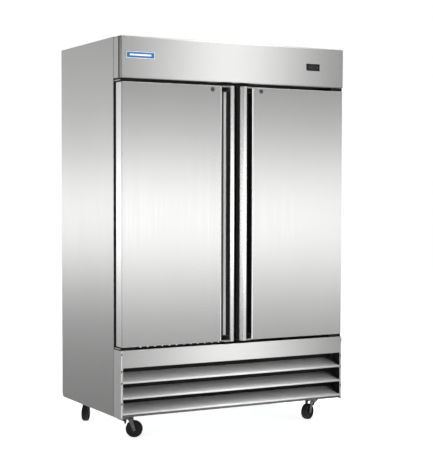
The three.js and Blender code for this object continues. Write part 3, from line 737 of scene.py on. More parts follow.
def lock(word, side):
    pos = joint_at(f"lock_{word}_turn")
    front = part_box(f"lock_plug_{word}")[0].y
    r = 9.4 * MM
    profile = [(0, 0.9 * MM), (r * 0.62, 0.9 * MM), (r * 0.68, 0.3 * MM), (r * 0.8, 0),
               (r * 0.95, 0.25 * MM), (r, 1.0 * MM), (r, 29.5 * MM), (0, 29.5 * MM)]
    cam = span(side, abs(pos.x) - 43 * MM, abs(pos.x) + 4 * MM)
    bm = bmesh.new()
    spin_into(bm, profile, frame_matrix("y", (pos.x, front, pos.z)), 40)
    box_into(bm, (cam[0], FACE + 26 * MM, pos.z - 6 * MM), (cam[1], FACE + 29 * MM, pos.z + 6 * MM),
             0.8 * MM)
    plug = finish_mesh(f"lock_barrel_{word}", bm, "nickel", f"lock_{word}",
                       replace=[f"lock_plug_{word}"])
    carve(plug, [box_cutter((pos.x - 0.7 * MM, front - MM, pos.z - 4 * MM),
                            (pos.x + 0.7 * MM, front + 7 * MM, pos.z + 4 * MM))])
    bm = bmesh.new()
    ring = in_mm([(10.2, 1.0), (11.4, 0.7), (11.8, -0.6), (9.7, -0.6), (9.7, 0.7)])
    spin_into(bm, ring, frame_matrix((0, -1, 0), (pos.x, FACE, pos.z)), 40, closed=True)
    finish_mesh(f"lock_rose_{word}", bm, "black_plastic", f"door_{word}")


def hinges(word, side):
    """Each hinge leaf with its four screws, and a black cover over the gap beside it."""
    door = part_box(f"door_pan_{word}")
    for level, up in (("top", 1), ("bottom", -1)):
        node = f"hinge_{level}_{word}"
        dress(node, "bright_zinc", 0.6 * MM)
        lo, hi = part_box(node)
        bm = bmesh.new()
        for x, y in four((lo.x + hi.x) / 2, -328.5 * MM, 12 * MM, 6.5 * MM):
            screw_into(bm, (x, y, hi.z if up > 0 else lo.z), (0, 0, up), 4 * MM, 2 * MM)
        finish_mesh(f"{node}_screws", bm, "bright_zinc")
        if up > 0:
            gap = (door[1].z + 1.5 * MM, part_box("header_cover")[0].z - 0.5 * MM)
        else:
            gap = (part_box("grille_frame")[1].z + 0.5 * MM, door[0].z - 1.5 * MM)
        far = max(abs(lo.x), abs(hi.x))
        x = span(side, far - 76 * MM, far - 1 * MM)
        bm = bmesh.new()
        box_into(bm, (x[0], FACE + 7 * MM, gap[0]), (x[1], FACE + 88 * MM, gap[1]), 1.2 * MM, 3)
        finish_mesh(f"hinge_cover_{level}_{word}", bm, "shadow_black")


def doors():
    for word, side in SIDES:
        door_pan(word, side)
        door_pull(word, side)
        # Meeting edges in the near-black shade colour: partly black plastic, partly painted shade in the gap
        # between the doors.
        dress(f"meeting_edge_{word}", "shadow_black", 1.4 * MM, 3)
        dress(f"door_liner_{word}", "black_plastic", 1.6 * MM, 3)
        gasket(word)
        inner_door_skin(word)
        lock(word, side)
        hinges(word, side)


# ------------------------------------------------------------------ header
def header_box():
    """Box across the top, with a shadow groove at each end, the display hole and the cam slots."""
    lo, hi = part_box("header_cover")
    bm = bmesh.new()
    tray_into(bm, lo, (hi.x, hi.y - SEAM, hi.z), HEADER_FOLD, segments=8)
    # The header in the darker steel: painted shade.
    cover = finish_mesh("header_box", bm, "steel_across_painted_shade", replace=["header_cover"])
    clo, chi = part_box("controller")
    inset = 4 * MM
    cuts = []
    for word, side in SIDES:
        x = span(side, hi.x - 4 * MM, hi.x + 4 * MM)
        cuts.append(box_cutter((x[0], FACE + 8 * MM, lo.z + 3 * MM), (x[1], FACE + 24 * MM, hi.z - 3 * MM)))
    cuts.append(box_cutter((clo.x + inset, FACE - 5 * MM, clo.z + inset),
                           (chi.x - inset, FACE + 5 * MM, chi.z - inset)))
    for word, side in SIDES:
        lock_x = abs(joint_at(f"lock_{word}_turn").x)
        x = span(side, lock_x - 32 * MM, lock_x + 12 * MM)
        cuts.append(box_cutter((x[0], CAM_SLOT[0], lo.z - 5 * MM), (x[1], CAM_SLOT[1], lo.z + 5 * MM)))
    carve(cover, cuts)
    shade_mesh(cover.data, 30)


def controller():
    """Black bezel of four bars round a glossy window, with two dim lamps behind it."""
    lo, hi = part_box("controller")
    rim, lap, glass = 5 * MM, 0.6 * MM, FACE - 1.6 * MM
    bars = [((lo.x, lo.z), (hi.x, lo.z + rim)), ((lo.x, hi.z - rim), (hi.x, hi.z)),
            ((lo.x, lo.z + rim - lap), (lo.x + rim, hi.z - rim + lap)),
            ((hi.x - rim, lo.z + rim - lap), (hi.x, hi.z - rim + lap))]
    bm = bmesh.new()
    for a, b in bars:
        box_into(bm, (a[0], lo.y, a[1]), (b[0], FACE - 0.2 * MM, b[1]), 0.9 * MM, 3)
    finish_mesh("controller_bezel", bm, "shadow_black", replace=["controller"])
    bm = bmesh.new()
    inset = rim - 0.5 * MM
    box_into(bm, (lo.x + inset, glass, lo.z + inset), (hi.x - inset, FACE + 57 * MM, hi.z - inset), 0.5 * MM)
    finish_mesh("controller_window", bm, "display")
    bm = bmesh.new()
    for fraction in (0.26, 0.84):
        centre = (lo.x + fraction * (hi.x - lo.x), glass, (lo.z + hi.z) / 2)
        spin_into(bm, in_mm([(0, 0.5), (1.6, 0.4), (2.2, 0), (0, 0)]), frame_matrix((0, -1, 0), centre), 20)
    finish_mesh("controller_lamps", bm, "lamp_dim")


def badge():
    """Blank rounded plate: a pale rim, a sunk blue panel and a plain pale bar."""
    lo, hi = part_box("blank_badge")
    bm = bmesh.new()
    box_into(bm, lo, (hi.x, FACE - 0.2 * MM, hi.z))
    bevel_along(bm, "y", 6 * MM, 6)
    front = [f for f in bm.faces if f.normal.y < -0.9]
    bmesh.ops.inset_individual(bm, faces=front, thickness=1.3 * MM, depth=0)
    panel = [f for f in bm.faces if f.normal.y < -0.9 and f.calc_area() > 0.002]
    bmesh.ops.inset_individual(bm, faces=panel, thickness=0.6 * MM, depth=-0.5 * MM)
    plate = finish_mesh("badge_plate", bm, "badge_rim", replace=["blank_badge"])
    broadest = max(face.area for face in plate.data.polygons if face.normal.y < 0)
    paint(plate, "badge", lambda face: face.normal.y < 0 and face.area == broadest)
    bm = bmesh.new()
    wide, tall = hi.x - lo.x, hi.z - lo.z
    box_into(bm, (lo.x + 0.12 * wide, lo.y - 0.1 * MM, lo.z + 0.38 * tall),
             (hi.x - 0.12 * wide, lo.y + 1.0 * MM, hi.z - 0.36 * tall), 0.3 * MM)
    finish_mesh("badge_bar", bm, "badge_rim")


# ------------------------------------------------------------------ cabinet shell
def side_panel(word, side):
    """Side sheet folded in at the front and back, with its lower rear corner cut off."""
    lo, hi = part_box(f"side_panel_{word}")
    near, far = sorted((abs(lo.x), abs(hi.x)))
    path = [(near, hi.y), (far, hi.y), (far, lo.y), (far - 4 * MM, lo.y)]
    bm = bmesh.new()
    extrude_into(bm, mirror_x(sheet_outline(path, [FOLD, FOLD], -SHEET, 5), side), "xy", lo.z, hi.z)
    panel = finish_mesh(f"side_skin_{word}", bm, "steel_upright",
                        replace=[f"side_panel_{word}"])
    corner = 20 * MM
    wedge = [(hi.y + MM, lo.z - MM), (hi.y + MM, lo.z + corner + MM), (hi.y - corner - MM, lo.z - MM)]
    carve(panel, [lambda bm: extrude_into(bm, wedge, "yz", lo.x - 5 * MM, hi.x + 5 * MM)])
    shade_mesh(panel.data, 30)


def rear_screws():
    lo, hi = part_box("rear_panel")
    places = [(x, z) for x in (lo.x + 12 * MM, hi.x - 12 * MM)
              for z in spaced(lo.z + 40 * MM, hi.z - 40 * MM, 9)]
    places += [(x, hi.z - 14 * MM) for x in spaced(lo.x + 160 * MM, hi.x - 160 * MM, 5)]
    bm = bmesh.new()
    for x, z in places:
        screw_into(bm, (x, hi.y - 1.9 * MM, z), (0, 1, 0), 4 * MM, 1.9 * MM)
    finish_mesh("rear_screws", bm, "bright_zinc")


def seam_shade_strips():
    """Black strips behind the joints of the side panels and the front boxes, and behind the grooves: painted
    shade that keeps these gaps dark.
    """
    half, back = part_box("side_panel_right")[1].x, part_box("side_panel_right")[0].y
    bm = bmesh.new()
    for _, side in SIDES:
        x = span(side, half - 6 * MM, half - 2 * MM)
        for node, y0, y1 in (("header_cover", back - 12 * MM, back + 4 * MM),
                             ("grille_frame", back - 12 * MM, back + 4 * MM),
                             ("header_cover", FACE + 6 * MM, FACE + 26 * MM)):
            lo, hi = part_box(node)
            box_into(bm, (x[0], y0, lo.z + 2 * MM), (x[1], y1, hi.z - 2 * MM), 0.4 * MM)
    finish_mesh("seam_shade_strips", bm, "black_plastic")


def shell():
    for word, side in SIDES:
        side_panel(word, side)
    seam_shade_strips()
    # The top panel in the darker steel: painted shade.
    dress("top_panel", "steel_across_painted_shade", 0.4 * MM)
    dress("rear_panel", "galvanised", 0.4 * MM)
    dress("front_frame", "black_plastic", 1.2 * MM, 3)
    dress("foam_shell", "foam", 0)
    dress("inner_liner", "aluminium", 0.5 * MM)
    dress("cord_gland", "black_plastic", 0.8 * MM)
    dress("base_pan", "galvanised", 0.6 * MM)
    rear_screws()


# ------------------------------------------------------------------ grille
FASCIA_LOW = 390 * MM                         # height of the fascia's lower edge
FLANGE = 14 * MM                              # width of the surround's upright flanges
LIP = 9 * MM                                  # height of a louvre blade's front lip
SCREW_HEIGHTS = [0.462, 0.374, 0.312, 0.206]


def grille_surround():
    lo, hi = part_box("grille_frame")
    bm = bmesh.new()
    tray_into(bm, Vector((lo.x, lo.y, FASCIA_LOW)), (hi.x, hi.y - SEAM, hi.z), FOLD)
    path = [(hi.x - FLANGE, lo.y), (hi.x, lo.y), (hi.x, hi.y - SEAM)]
    for _, side in SIDES:
        extrude_into(bm, mirror_x(sheet_outline(path, [FOLD], SHEET, 5), side), "xy", lo.z, FASCIA_LOW + MM)
    rail = [(lo.y + 12 * MM, lo.z + 17 * MM), (lo.y, lo.z + 17 * MM), (lo.y, lo.z + 8 * MM),
            (hi.y, lo.z + 8 * MM)]
    extrude_into(bm, sheet_outline(rail, [1.6 * MM, 1.6 * MM], SHEET, 4), "yz", lo.x + 2 * MM, hi.x - 2 * MM)
    # The surround in the darker steel: painted shade.
    surround = finish_mesh("grille_surround", bm, "steel_across_painted_shade", replace=["grille_frame"])
    inside = hi.x - FLANGE
    # Painted shade: the bottom rail in near-black steel.
    paint(surround, "steel_painted_shade", lambda face: face.center.z < lo.z + 18 * MM
          and abs(face.center.x) < inside)
    # Painted highlight: the fronts of the upright flanges below the fascia in the lighter steel.
    paint(surround, "steel_painted_highlight", lambda face: face.normal.y < -0.9 and face.center.z < FASCIA_LOW
          and abs(face.center.x) > inside)


def louvre_blades():
    for index in (1, 2, 3):
        lo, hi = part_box(f"louvre_blade_{index}")
        path = [(hi.y, hi.z), (lo.y, lo.z + LIP), (lo.y, lo.z), (lo.y + 10 * MM, lo.z)]
        bm = bmesh.new()
        extrude_into(bm, sheet_outline(path, [2.4 * MM, 2.0 * MM], SHEET, 5), "yz", lo.x, hi.x)
        # The blades in the lighter steel: painted light.
        finish_mesh(f"blade_{index}", bm, "steel_blade_painted_light", replace=[f"louvre_blade_{index}"])


def grille_trim():
    """Grey strips on the flanges as painted highlight, screws on the flanges, black sheets behind them as
    painted shade, and a black filter mat that also stands in for the shade behind the louvres.
    """
    lo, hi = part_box("grille_frame")
    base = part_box("base_pan")[0]
    # Painted highlight: grey strips down the flange fronts.
    bm = bmesh.new()
    for _, side in SIDES:
        x = span(side, hi.x - 10 * MM, hi.x - 1.5 * MM)
        box_into(bm, (x[0], lo.y - 0.9 * MM, lo.z + 9 * MM),
                 (x[1], lo.y + 0.3 * MM, hi.z - 2 * MM), 0.4 * MM)
    finish_mesh("grille_end_highlight_strips", bm, "flange_painted_highlight")
    # Painted shade: black sheets inside the end returns, where the grille's ends lie in shade.
    bm = bmesh.new()
    for _, side in SIDES:
        x = span(side, hi.x - 2.0 * MM, hi.x - 1.4 * MM)
        box_into(bm, (x[0], lo.y + 2 * MM, lo.z + 10 * MM), (x[1], hi.y, FASCIA_LOW - 1 * MM), 0.2 * MM)
    finish_mesh("grille_end_painted_shade", bm, "black_paint")
    # Near-black mat behind the louvres: partly an air filter, partly painted shade that keeps the view into
    # the machine compartment dark.
    bm = bmesh.new()
    box_into(bm, (lo.x + 8 * MM, base.y + 5 * MM, base.z + 4 * MM),
             (hi.x - 8 * MM, base.y + 14 * MM, hi.z - 4 * MM), 1.0 * MM)
    finish_mesh("air_filter_and_shade", bm, "filter_mesh")
    bm = bmesh.new()
    for _, side in SIDES:
        for z in SCREW_HEIGHTS:
            screw_into(bm, (side * (hi.x - 6.5 * MM), lo.y - MM, z), (0, -1, 0), 4.6 * MM, 1.6 * MM)
    finish_mesh("grille_screws", bm, "shadow_black")


# ------------------------------------------------------------------ casters
LEG_GAP, LEG, CROWN = 17 * MM, 3 * MM, 118 * MM      # inside half width, leg sheet, top of the fork
BOSS = 9.5 * MM                               # rounding of a leg about the axle
WHEEL_HALF = 16 * MM


def caster_frame(word):
    """A matrix with +X along the trail and origin under the swivel; the trail; the axle's height."""
    swivel, wheel = joint_at(f"swivel_{word}_turn"), joint_at(f"wheel_{word}_roll")
    ahead = Vector((wheel.x - swivel.x, wheel.y - swivel.y, 0))
    trail = ahead.length
    ahead.normalize()
    across = Vector((0, 0, 1)).cross(ahead)
    m = Matrix((ahead, across, Vector((0, 0, 1)))).transposed().to_4x4()
    return Matrix.Translation((swivel.x, swivel.y, 0)) @ m, trail, wheel.z


def caster_top(word):
    lo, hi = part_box(f"caster_plate_{word}")
    centre = (lo + hi) / 2
    bm = bmesh.new()
    box_into(bm, (lo.x, lo.y, lo.z + 2 * MM), hi)
    bevel_along(bm, "z", 9 * MM, 5)
    profile = in_mm([(0, 0), (21, 0), (24, 1.2), (24, 3), (0, 3)])
    spin_into(bm, profile, Matrix.Translation((centre.x, centre.y, lo.z)), 36)
    for x, y in four(centre.x, centre.y, 38 * MM, 27 * MM):
        hex_into(bm, (x, y, lo.z + 2.2 * MM), (0, 0, -1), 12 * MM, 5 * MM)
    # The plate in the darker zinc: painted shade.
    finish_mesh(f"caster_top_{word}", bm, "zinc", replace=[f"caster_plate_{word}"])


def fork(word, m, trail, hub):
    """Two legs under a folded bridge, a swivel head above it, and the axle with its nuts."""
    leg = [(-4 * MM, CROWN - 2 * MM), (0.0, 100 * MM), (trail - BOSS, hub + 8 * MM)]
    leg += [(trail + BOSS * math.cos(a), hub + BOSS * math.sin(a))
            for a in spaced(math.pi, 2.05 * math.pi, 9)]
    leg += [(trail + 4 * MM, hub + 14 * MM), (25 * MM, 98 * MM), (28 * MM, CROWN - 2 * MM)]
    bm = bmesh.new()
    for y0 in (-LEG_GAP - LEG, LEG_GAP):
        extrude_into(bm, leg, "xz", y0, y0 + LEG)
    out, low = LEG_GAP + LEG, 96 * MM
    bridge = sheet_outline([(-out, low), (-out, CROWN), (out, CROWN), (out, low)], 7 * MM, -LEG, 6)
    extrude_into(bm, bridge, "yz", -26 * MM, 28 * MM)
    crown = Matrix.Translation((0, 0, CROWN))
    spin_into(bm, in_mm([(0, -2), (22, -2), (25, 0), (25, 1.6), (22, 2.4), (0, 2.4)]), crown, 36)
    spin_into(bm, in_mm([(0, -7), (7, -7), (8, -5.5), (8, -2), (0, -2)]), crown, 24)
    for y in (out, -out):
        hex_into(bm, (trail, y, hub), (0, y / out, 0), 13 * MM, 5 * MM, bore=False)
    rod_into(bm, (trail, 0, hub), "y", 5 * MM, 2 * LEG_GAP, 20)
    bmesh.ops.transform(bm, matrix=m, verts=bm.verts)
    # The fork in the darker zinc: painted shade.
    finish_mesh(f"fork_{word}", bm, "zinc", f"swivel_{word}", replace=[f"caster_fork_{word}"])


def there_and_back(profile):
    """A profile of (radius, height) points continued by its mirror image in height."""
    return profile + [(r, -h) for r, h in reversed(profile)]


def wheel(word, m, trail, hub):
    """Tyre and an eight-spoked centre."""
    axle = m @ frame_matrix("y", (trail, 0, hub))
    half, rim = WHEEL_HALF, hub - 12 * MM
    tread = there_and_back([(rim - 1.5 * MM, -half + 1.5 * MM), (rim, -half), (hub - 6 * MM, -half),
                            (hub - 2 * MM, -half + 2 * MM), (hub, -half + 7 * MM)])
    bm = bmesh.new()
    spin_into(bm, tread, axle, 64, closed=True)
    # The tyre in the extra-dark rubber: its own black, deepened as painted shade.
    finish_mesh(f"tyre_{word}", bm, "wheel_rubber", f"wheel_{word}",
                replace=[f"caster_wheel_{word}"])
    core = there_and_back([(5.4 * MM, -half), (12 * MM, -half), (13 * MM, -half + MM),
                           (14 * MM, -half + 5 * MM), (rim - 5 * MM, -half + 5 * MM),
                           (rim - 3.5 * MM, -half + 1.5 * MM),
                           (rim - MM, -half + 1.5 * MM)])
    bm = bmesh.new()
    spin_into(bm, core, axle, 48, closed=True)
    for k in range(8):
        spoke = axle @ Matrix.Rotation(2 * math.pi * k / 8, 4, "Z")
        for z in (6 * MM - half, half - 6 * MM):
            turned_box_into(bm, spoke, (13 * MM, -1.2 * MM, z - 2.4 * MM),
                            (rim - 4 * MM, 1.2 * MM, z + 2.4 * MM), 0.5 * MM)
    finish_mesh(f"wheel_centre_{word}", bm, "wheel_core", f"wheel_{word}")


def pedal(word, m):
    """Brake pedal with a ribbed pad and a shoe, on a pin through the fork."""
    outline = in_mm([(-8.5, 92.5), (-12, 96), (-16, 97), (-30, 102.3), (-46, 107.5), (-51.5, 107.2),
                     (-55, 104.5), (-56.5, 100), (-52, 97.5), (-38, 92), (-20.5, 85.5), (-18.5, 81),
                     (-17, 72), (-11, 72), (-9, 84)])
    bm = bmesh.new()
    extrude_into(bm, outline, "xz", -11 * MM, 11 * MM)
    sharp = [e for e in bm.edges if len(e.link_faces) == 2 and e.calc_face_angle() > 0.9]
    bmesh.ops.bevel(bm, geom=sharp, offset=1.0 * MM, segments=2, profile=0.5, affect="EDGES")
    for k in range(5):
        x, z = (-46 + k * 4.5) * MM, (106.3 - k * 1.46) * MM
        box_into(bm, (x, -10 * MM, z), (x + 1.6 * MM, 10 * MM, z + 2.0 * MM), 0.4 * MM)
    rod_into(bm, (-14 * MM, 0, 88 * MM), "y", 3 * MM, 2 * LEG_GAP - 0.6 * MM, 16)
    bmesh.ops.transform(bm, matrix=m, verts=bm.verts)
    finish_mesh(f"pedal_{word}", bm, "black_plastic", f"brake_{word}",
                replace=[f"brake_pedal_{word}"])


def caster(word):
    m, trail, hub = caster_frame(word)
    caster_top(word)
    fork(word, m, trail, hub)
    wheel(word, m, trail, hub)
    if word.startswith("front"):
        pedal(word, m)


# ------------------------------------------------------------------ cold compartment
def wire_shelf(node):
    """Shelf of bent wires over a rim and two cross bars."""
    lo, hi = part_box(node)
    thick, thin, bar = 2.9 * MM, 1.8 * MM, 2.4 * MM
    z = lo.z + 3 * MM
    x0, x1, y0, y1 = lo.x + thick, hi.x - thick, lo.y + thick, hi.y - thick
    rim = [(x0 + 60 * MM, y0, z), (x1, y0, z), (x1, y1, z), (x0, y1, z), (x0, y0, z), (x0 + 58 * MM, y0, z)]
    bm = bmesh.new()
    tube_into(bm, smooth_path(rim, 14 * MM, 5), thick, 10)
    for fraction in (0.33, 0.67):
        y = y0 + (y1 - y0) * fraction
        tube_into(bm, [(x0, y, z), (x1, y, z)], bar, 8)
    wires = 23
    top = z + bar + thin * 0.8
    for i in range(wires):
        x = x0 + (i + 0.5) * (x1 - x0) / wires
        path = [(x, y0 - 1.5 * MM, z), (x, y0 + 0.5 * MM, top),
                (x, y1 - 0.5 * MM, top), (x, y1 + 1.5 * MM, z)]
        tube_into(bm, smooth_path(path, 2 * MM, 2), thin, 6)
    finish_mesh(f"wire_{node}", bm, "shelf_coat", node, replace=[node], smooth=50)


def standards():
    """Slotted strips on the shelf standards: two rails with a rung between each pair of slots."""
    low, high, pitch, rung = 602 * MM, 1798 * MM, 25.4 * MM, 13.4 * MM
    strips = [(side * 610 * MM, y, (-side, 0, 0)) for _, side in SIDES for y in (-240 * MM, 290 * MM)]
    strips += [(0, 342 * MM, (0, -1, 0)), (0, -283.5 * MM, (0, 1, 0))]
    bm = bmesh.new()
    for x, y, out in strips:
        out = Vector(out)
        wide = Vector((abs(out.y), abs(out.x), 0))
        base = Vector((x, y, 0)) + out * 0.05 * MM
        slabs = [(-12 * MM, -5 * MM, low, high), (5 * MM, 12 * MM, low, high)]
        z = low
        while z < high - 13 * MM:
            slabs.append((-5 * MM, 5 * MM, z, z + rung))
            z += pitch
        for a, b, z0, z1 in slabs:
            p, q = base + wide * a, base + wide * b + out * 0.9 * MM
            box_into(bm, (min(p.x, q.x), min(p.y, q.y), z0), (max(p.x, q.x), max(p.y, q.y), z1))
    finish_mesh("shelf_standards", bm, "bright_zinc")


def lamp():
    """Strip lamp under the ceiling: base, tube and two end caps."""
    y, z, half = -0.225, 2.0385, 0.43
    bm = bmesh.new()
    box_into(bm, (-half, y - 18 * MM, z - 8 * MM), (half, y + 18 * MM, z), 1.5 * MM, 2)
    finish_mesh("lamp_base", bm, "aluminium")
    bm = bmesh.new()
    profile = there_and_back([(0, -0.42), (11 * MM, -0.42), (12 * MM, -0.416)])
    spin_into(bm, profile, frame_matrix("x", (0, y, z - 14 * MM)), 24)
    finish_mesh("lamp_tube", bm, "lamp_cover")
    bm = bmesh.new()
    for x in (-0.426, 0.41):
        box_into(bm, (x, y - 14 * MM, z - 28 * MM), (x + 16 * MM, y + 14 * MM, z - 7 * MM), 2 * MM, 3)
    finish_mesh("lamp_ends", bm, "white_plastic")


def fan_blade_into(bm, turn, hub, radius, wide, pitch, half, steps=8):
    """One swept, twisted blade, 1 mm thick, widening and flattening towards its tip."""
    layers = []
    for face in (-0.5 * MM, 0.5 * MM):
        grid = []
        for i in range(steps + 1):
            t = i / steps
            r = hub * 0.85 + (radius - hub * 0.85) * t
            reach, twist = (0.62 + 0.28 * t) * wide, pitch * (1.15 - 0.5 * t)
            row = []
            for j in range(steps + 1):
                across = j / steps - 0.5
                a = across * 2 * reach * (1 - 0.18 * t ** 4) + 0.12 * t
                lift = max(-half, min(half, math.sin(across * math.pi) * twist * half / 0.5))
                row.append(bm.verts.new(turn @ Vector((r * math.cos(a), lift + face, r * math.sin(a)))))
            grid.append(row)
        layers.append(grid)
    front, back = layers
    for i in range(steps):
        for j in range(steps):
            bm.faces.new([front[i][j], front[i][j + 1], front[i + 1][j + 1], front[i + 1][j]])
            bm.faces.new([back[i][j], back[i + 1][j], back[i + 1][j + 1], back[i][j + 1]])
    edge = [(i, 0) for i in range(steps)] + [(steps, j) for j in range(steps)]
    edge += [(i, steps) for i in range(steps, 0, -1)] + [(0, j) for j in range(steps, 0, -1)]
    for (i, j), (k, l) in zip(edge, edge[1:] + edge[:1]):
        bm.faces.new([front[i][j], front[k][l], back[k][l], back[i][j]])


def fan_rotor(body, blades, pitch=0.5):
    """A hub with blades about Y."""
    node = f"{body}_blade"
    lo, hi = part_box(node)
    centre = joint_at(f"{body}_spin")
    radius, half = (hi.x - lo.x) / 2 * 0.985, (hi.y - lo.y) / 2 * 0.7
    hub = radius * 0.26
    bm = bmesh.new()
    spin_into(bm, [(0, -half), (hub * 0.8, -half), (hub, -half * 0.7), (hub, half), (0, half)],
              frame_matrix("y", centre), 32)
    for k in range(blades):
        turn = Matrix.Translation(centre) @ Matrix.Rotation(2 * math.pi * k / blades, 4, "Y")
        fan_blade_into(bm, turn, hub, radius, math.pi / blades, pitch, half)
    finish_mesh(f"{node}_rotor", bm, "aluminium", body, replace=[node], smooth=40)


def fins_into(bm, lo, hi, count):
    """Thin plates square to X that fill a box."""
    for x in spaced(lo[0], hi[0], count):
        box_into(bm, (x - 0.2 * MM, lo[1], lo[2]), (x + 0.2 * MM, hi[1], hi[2]))


def evaporator():
    dress("evaporator_cover", "aluminium", 0.5 * MM)
    lo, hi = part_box("evaporator_coil")
    bm = bmesh.new()
    fins_into(bm, lo + Vector((14, 2, 2)) * MM, hi - Vector((14, 2, 2)) * MM, 90)
    for x in (lo.x + 8 * MM, hi.x - 10 * MM):
        box_into(bm, (x, lo.y, lo.z), (x + 2 * MM, hi.y, hi.z), 0.5 * MM)
    finish_mesh("evaporator_fins", bm, "aluminium", replace=["evaporator_coil"])
    bm = bmesh.new()
    for y in (lo.y + 40 * MM, lo.y + 110 * MM):
        for z in spaced(lo.z + 25 * MM, lo.z + 115 * MM, 3):
            tube_into(bm, [(lo.x + MM, y, z), (hi.x - MM, y, z)], 4.5 * MM, 10)
    finish_mesh("evaporator_tubes", bm, "copper")
    fan_rotor("evaporator_fan", 5)

    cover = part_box("evaporator_cover")[0]
    fan = joint_at("evaporator_fan_spin")
    y, radius, rings = cover.y - 2.5 * MM, 72 * MM, 6
    bm = bmesh.new()
    for k in range(rings):
        r = radius * (k + 1) / rings
        circle = [(fan.x + r * math.cos(a), y, fan.z + r * math.sin(a)) for a in spaced(0, 2 * math.pi, 41)]
        tube_into(bm, circle, 1.0 * MM, 6)
    middle = Vector((fan.x, y + 1.6 * MM, fan.z))
    for k in range(4):
        spoke = Vector((math.cos(math.pi * k / 4), 0, math.sin(math.pi * k / 4))) * (radius + 5 * MM)
        tube_into(bm, [middle - spoke, middle + spoke], 1.2 * MM, 6)
    finish_mesh("evaporator_fan_guard", bm, "bright_zinc")
    for word, side in SIDES:
        x = span(side, 150 * MM, 520 * MM)
        bm = bmesh.new()
        for z in spaced(cover.z + 30 * MM, cover.z + 138 * MM, 10):
            box_into(bm, (x[0], cover.y - 1.2 * MM, z), (x[1], cover.y + 0.5 * MM, z + 4.5 * MM), 0.6 * MM)
        finish_mesh(f"evaporator_slats_{word}", bm, "aluminium")


# ------------------------------------------------------------------ machine compartment
def condenser():
    lo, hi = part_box("condenser_coil")
    throat = joint_at("condenser_fan_spin")
    coil_back = lo.y + 50 * MM
    bm = bmesh.new()
    fins_into(bm, lo + Vector((8, 1, 3)) * MM, (hi.x - 8 * MM, coil_back - 2 * MM, hi.z - 3 * MM), 72)
    finish_mesh("condenser_fins", bm, "aluminium", replace=["condenser_coil"])
    bm = bmesh.new()
    for z in spaced(lo.z + 18 * MM, hi.z - 18 * MM, 9):
        for y in (lo.y + 14 * MM, lo.y + 36 * MM):
            tube_into(bm, [(lo.x + 0.5 * MM, y, z), (hi.x - 0.5 * MM, y, z)], 4.2 * MM, 10)
    finish_mesh("condenser_tubes", bm, "copper")
    bm = bmesh.new()
    box_into(bm, (lo.x, coil_back - 1.5 * MM, lo.z), (hi.x, hi.y, hi.z), 1.5 * MM, 2)
    shroud = finish_mesh("condenser_shroud", bm, "black_paint")
    wall = 6 * MM
    carve(shroud, [rod_cutter((throat.x, hi.y, throat.z), "y", 121 * MM, 2 * (hi.y - coil_back) + 20 * MM),
                   box_cutter((lo.x + wall, coil_back - 20 * MM, lo.z + wall),
                              (hi.x - wall, coil_back + 8 * MM, hi.z - wall))])
    fan_rotor("condenser_fan", 4)


def fan_motor():
    """Finned motor held by two bent rods."""
    throat = joint_at("condenser_fan_spin")
    lo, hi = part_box("condenser_fan_motor")
    y0, y1, r = hi.y - 62 * MM, hi.y, 38 * MM
    profile = [(0, y0), (r - 8 * MM, y0), (r, y0 + 6 * MM), (r, y1 - 14 * MM),
               (r - 10 * MM, y1 - 2 * MM), (0, y1)]
    bm = bmesh.new()
    spin_into(bm, profile, frame_matrix("y", (throat.x, 0, throat.z)), 40)
    for k in range(20):
        turn = Matrix.Translation((throat.x, 0, throat.z)) @ Matrix.Rotation(2 * math.pi * k / 20, 4, "Y")
        turned_box_into(bm, turn, (r - MM, y0 + 10 * MM, -0.9 * MM),
                        (r + 3.5 * MM, y1 - 18 * MM, 0.9 * MM), 0.3 * MM)
    x0, x1 = lo.x + 9 * MM, hi.x - 9 * MM
    for z in (throat.z - 6 * MM, throat.z + 6 * MM):
        rod = [(x0, lo.y + MM, z), (x0, lo.y + 14 * MM, z), (x1, lo.y + 14 * MM, z), (x1, lo.y + MM, z)]
        tube_into(bm, smooth_path(rod, 12 * MM, 5), 3 * MM, 10)
    finish_mesh("fan_motor_body", bm, "black_paint", replace=["condenser_fan_motor"])


COMPRESSOR_X, COMPRESSOR_Y = 250 * MM, 60 * MM
COMPRESSOR_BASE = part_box("compressor")[0].z + 23.7 * MM
COMPRESSOR_RADIUS = 88 * MM
FEET = four(COMPRESSOR_X, COMPRESSOR_Y, 88 * MM, 45 * MM)


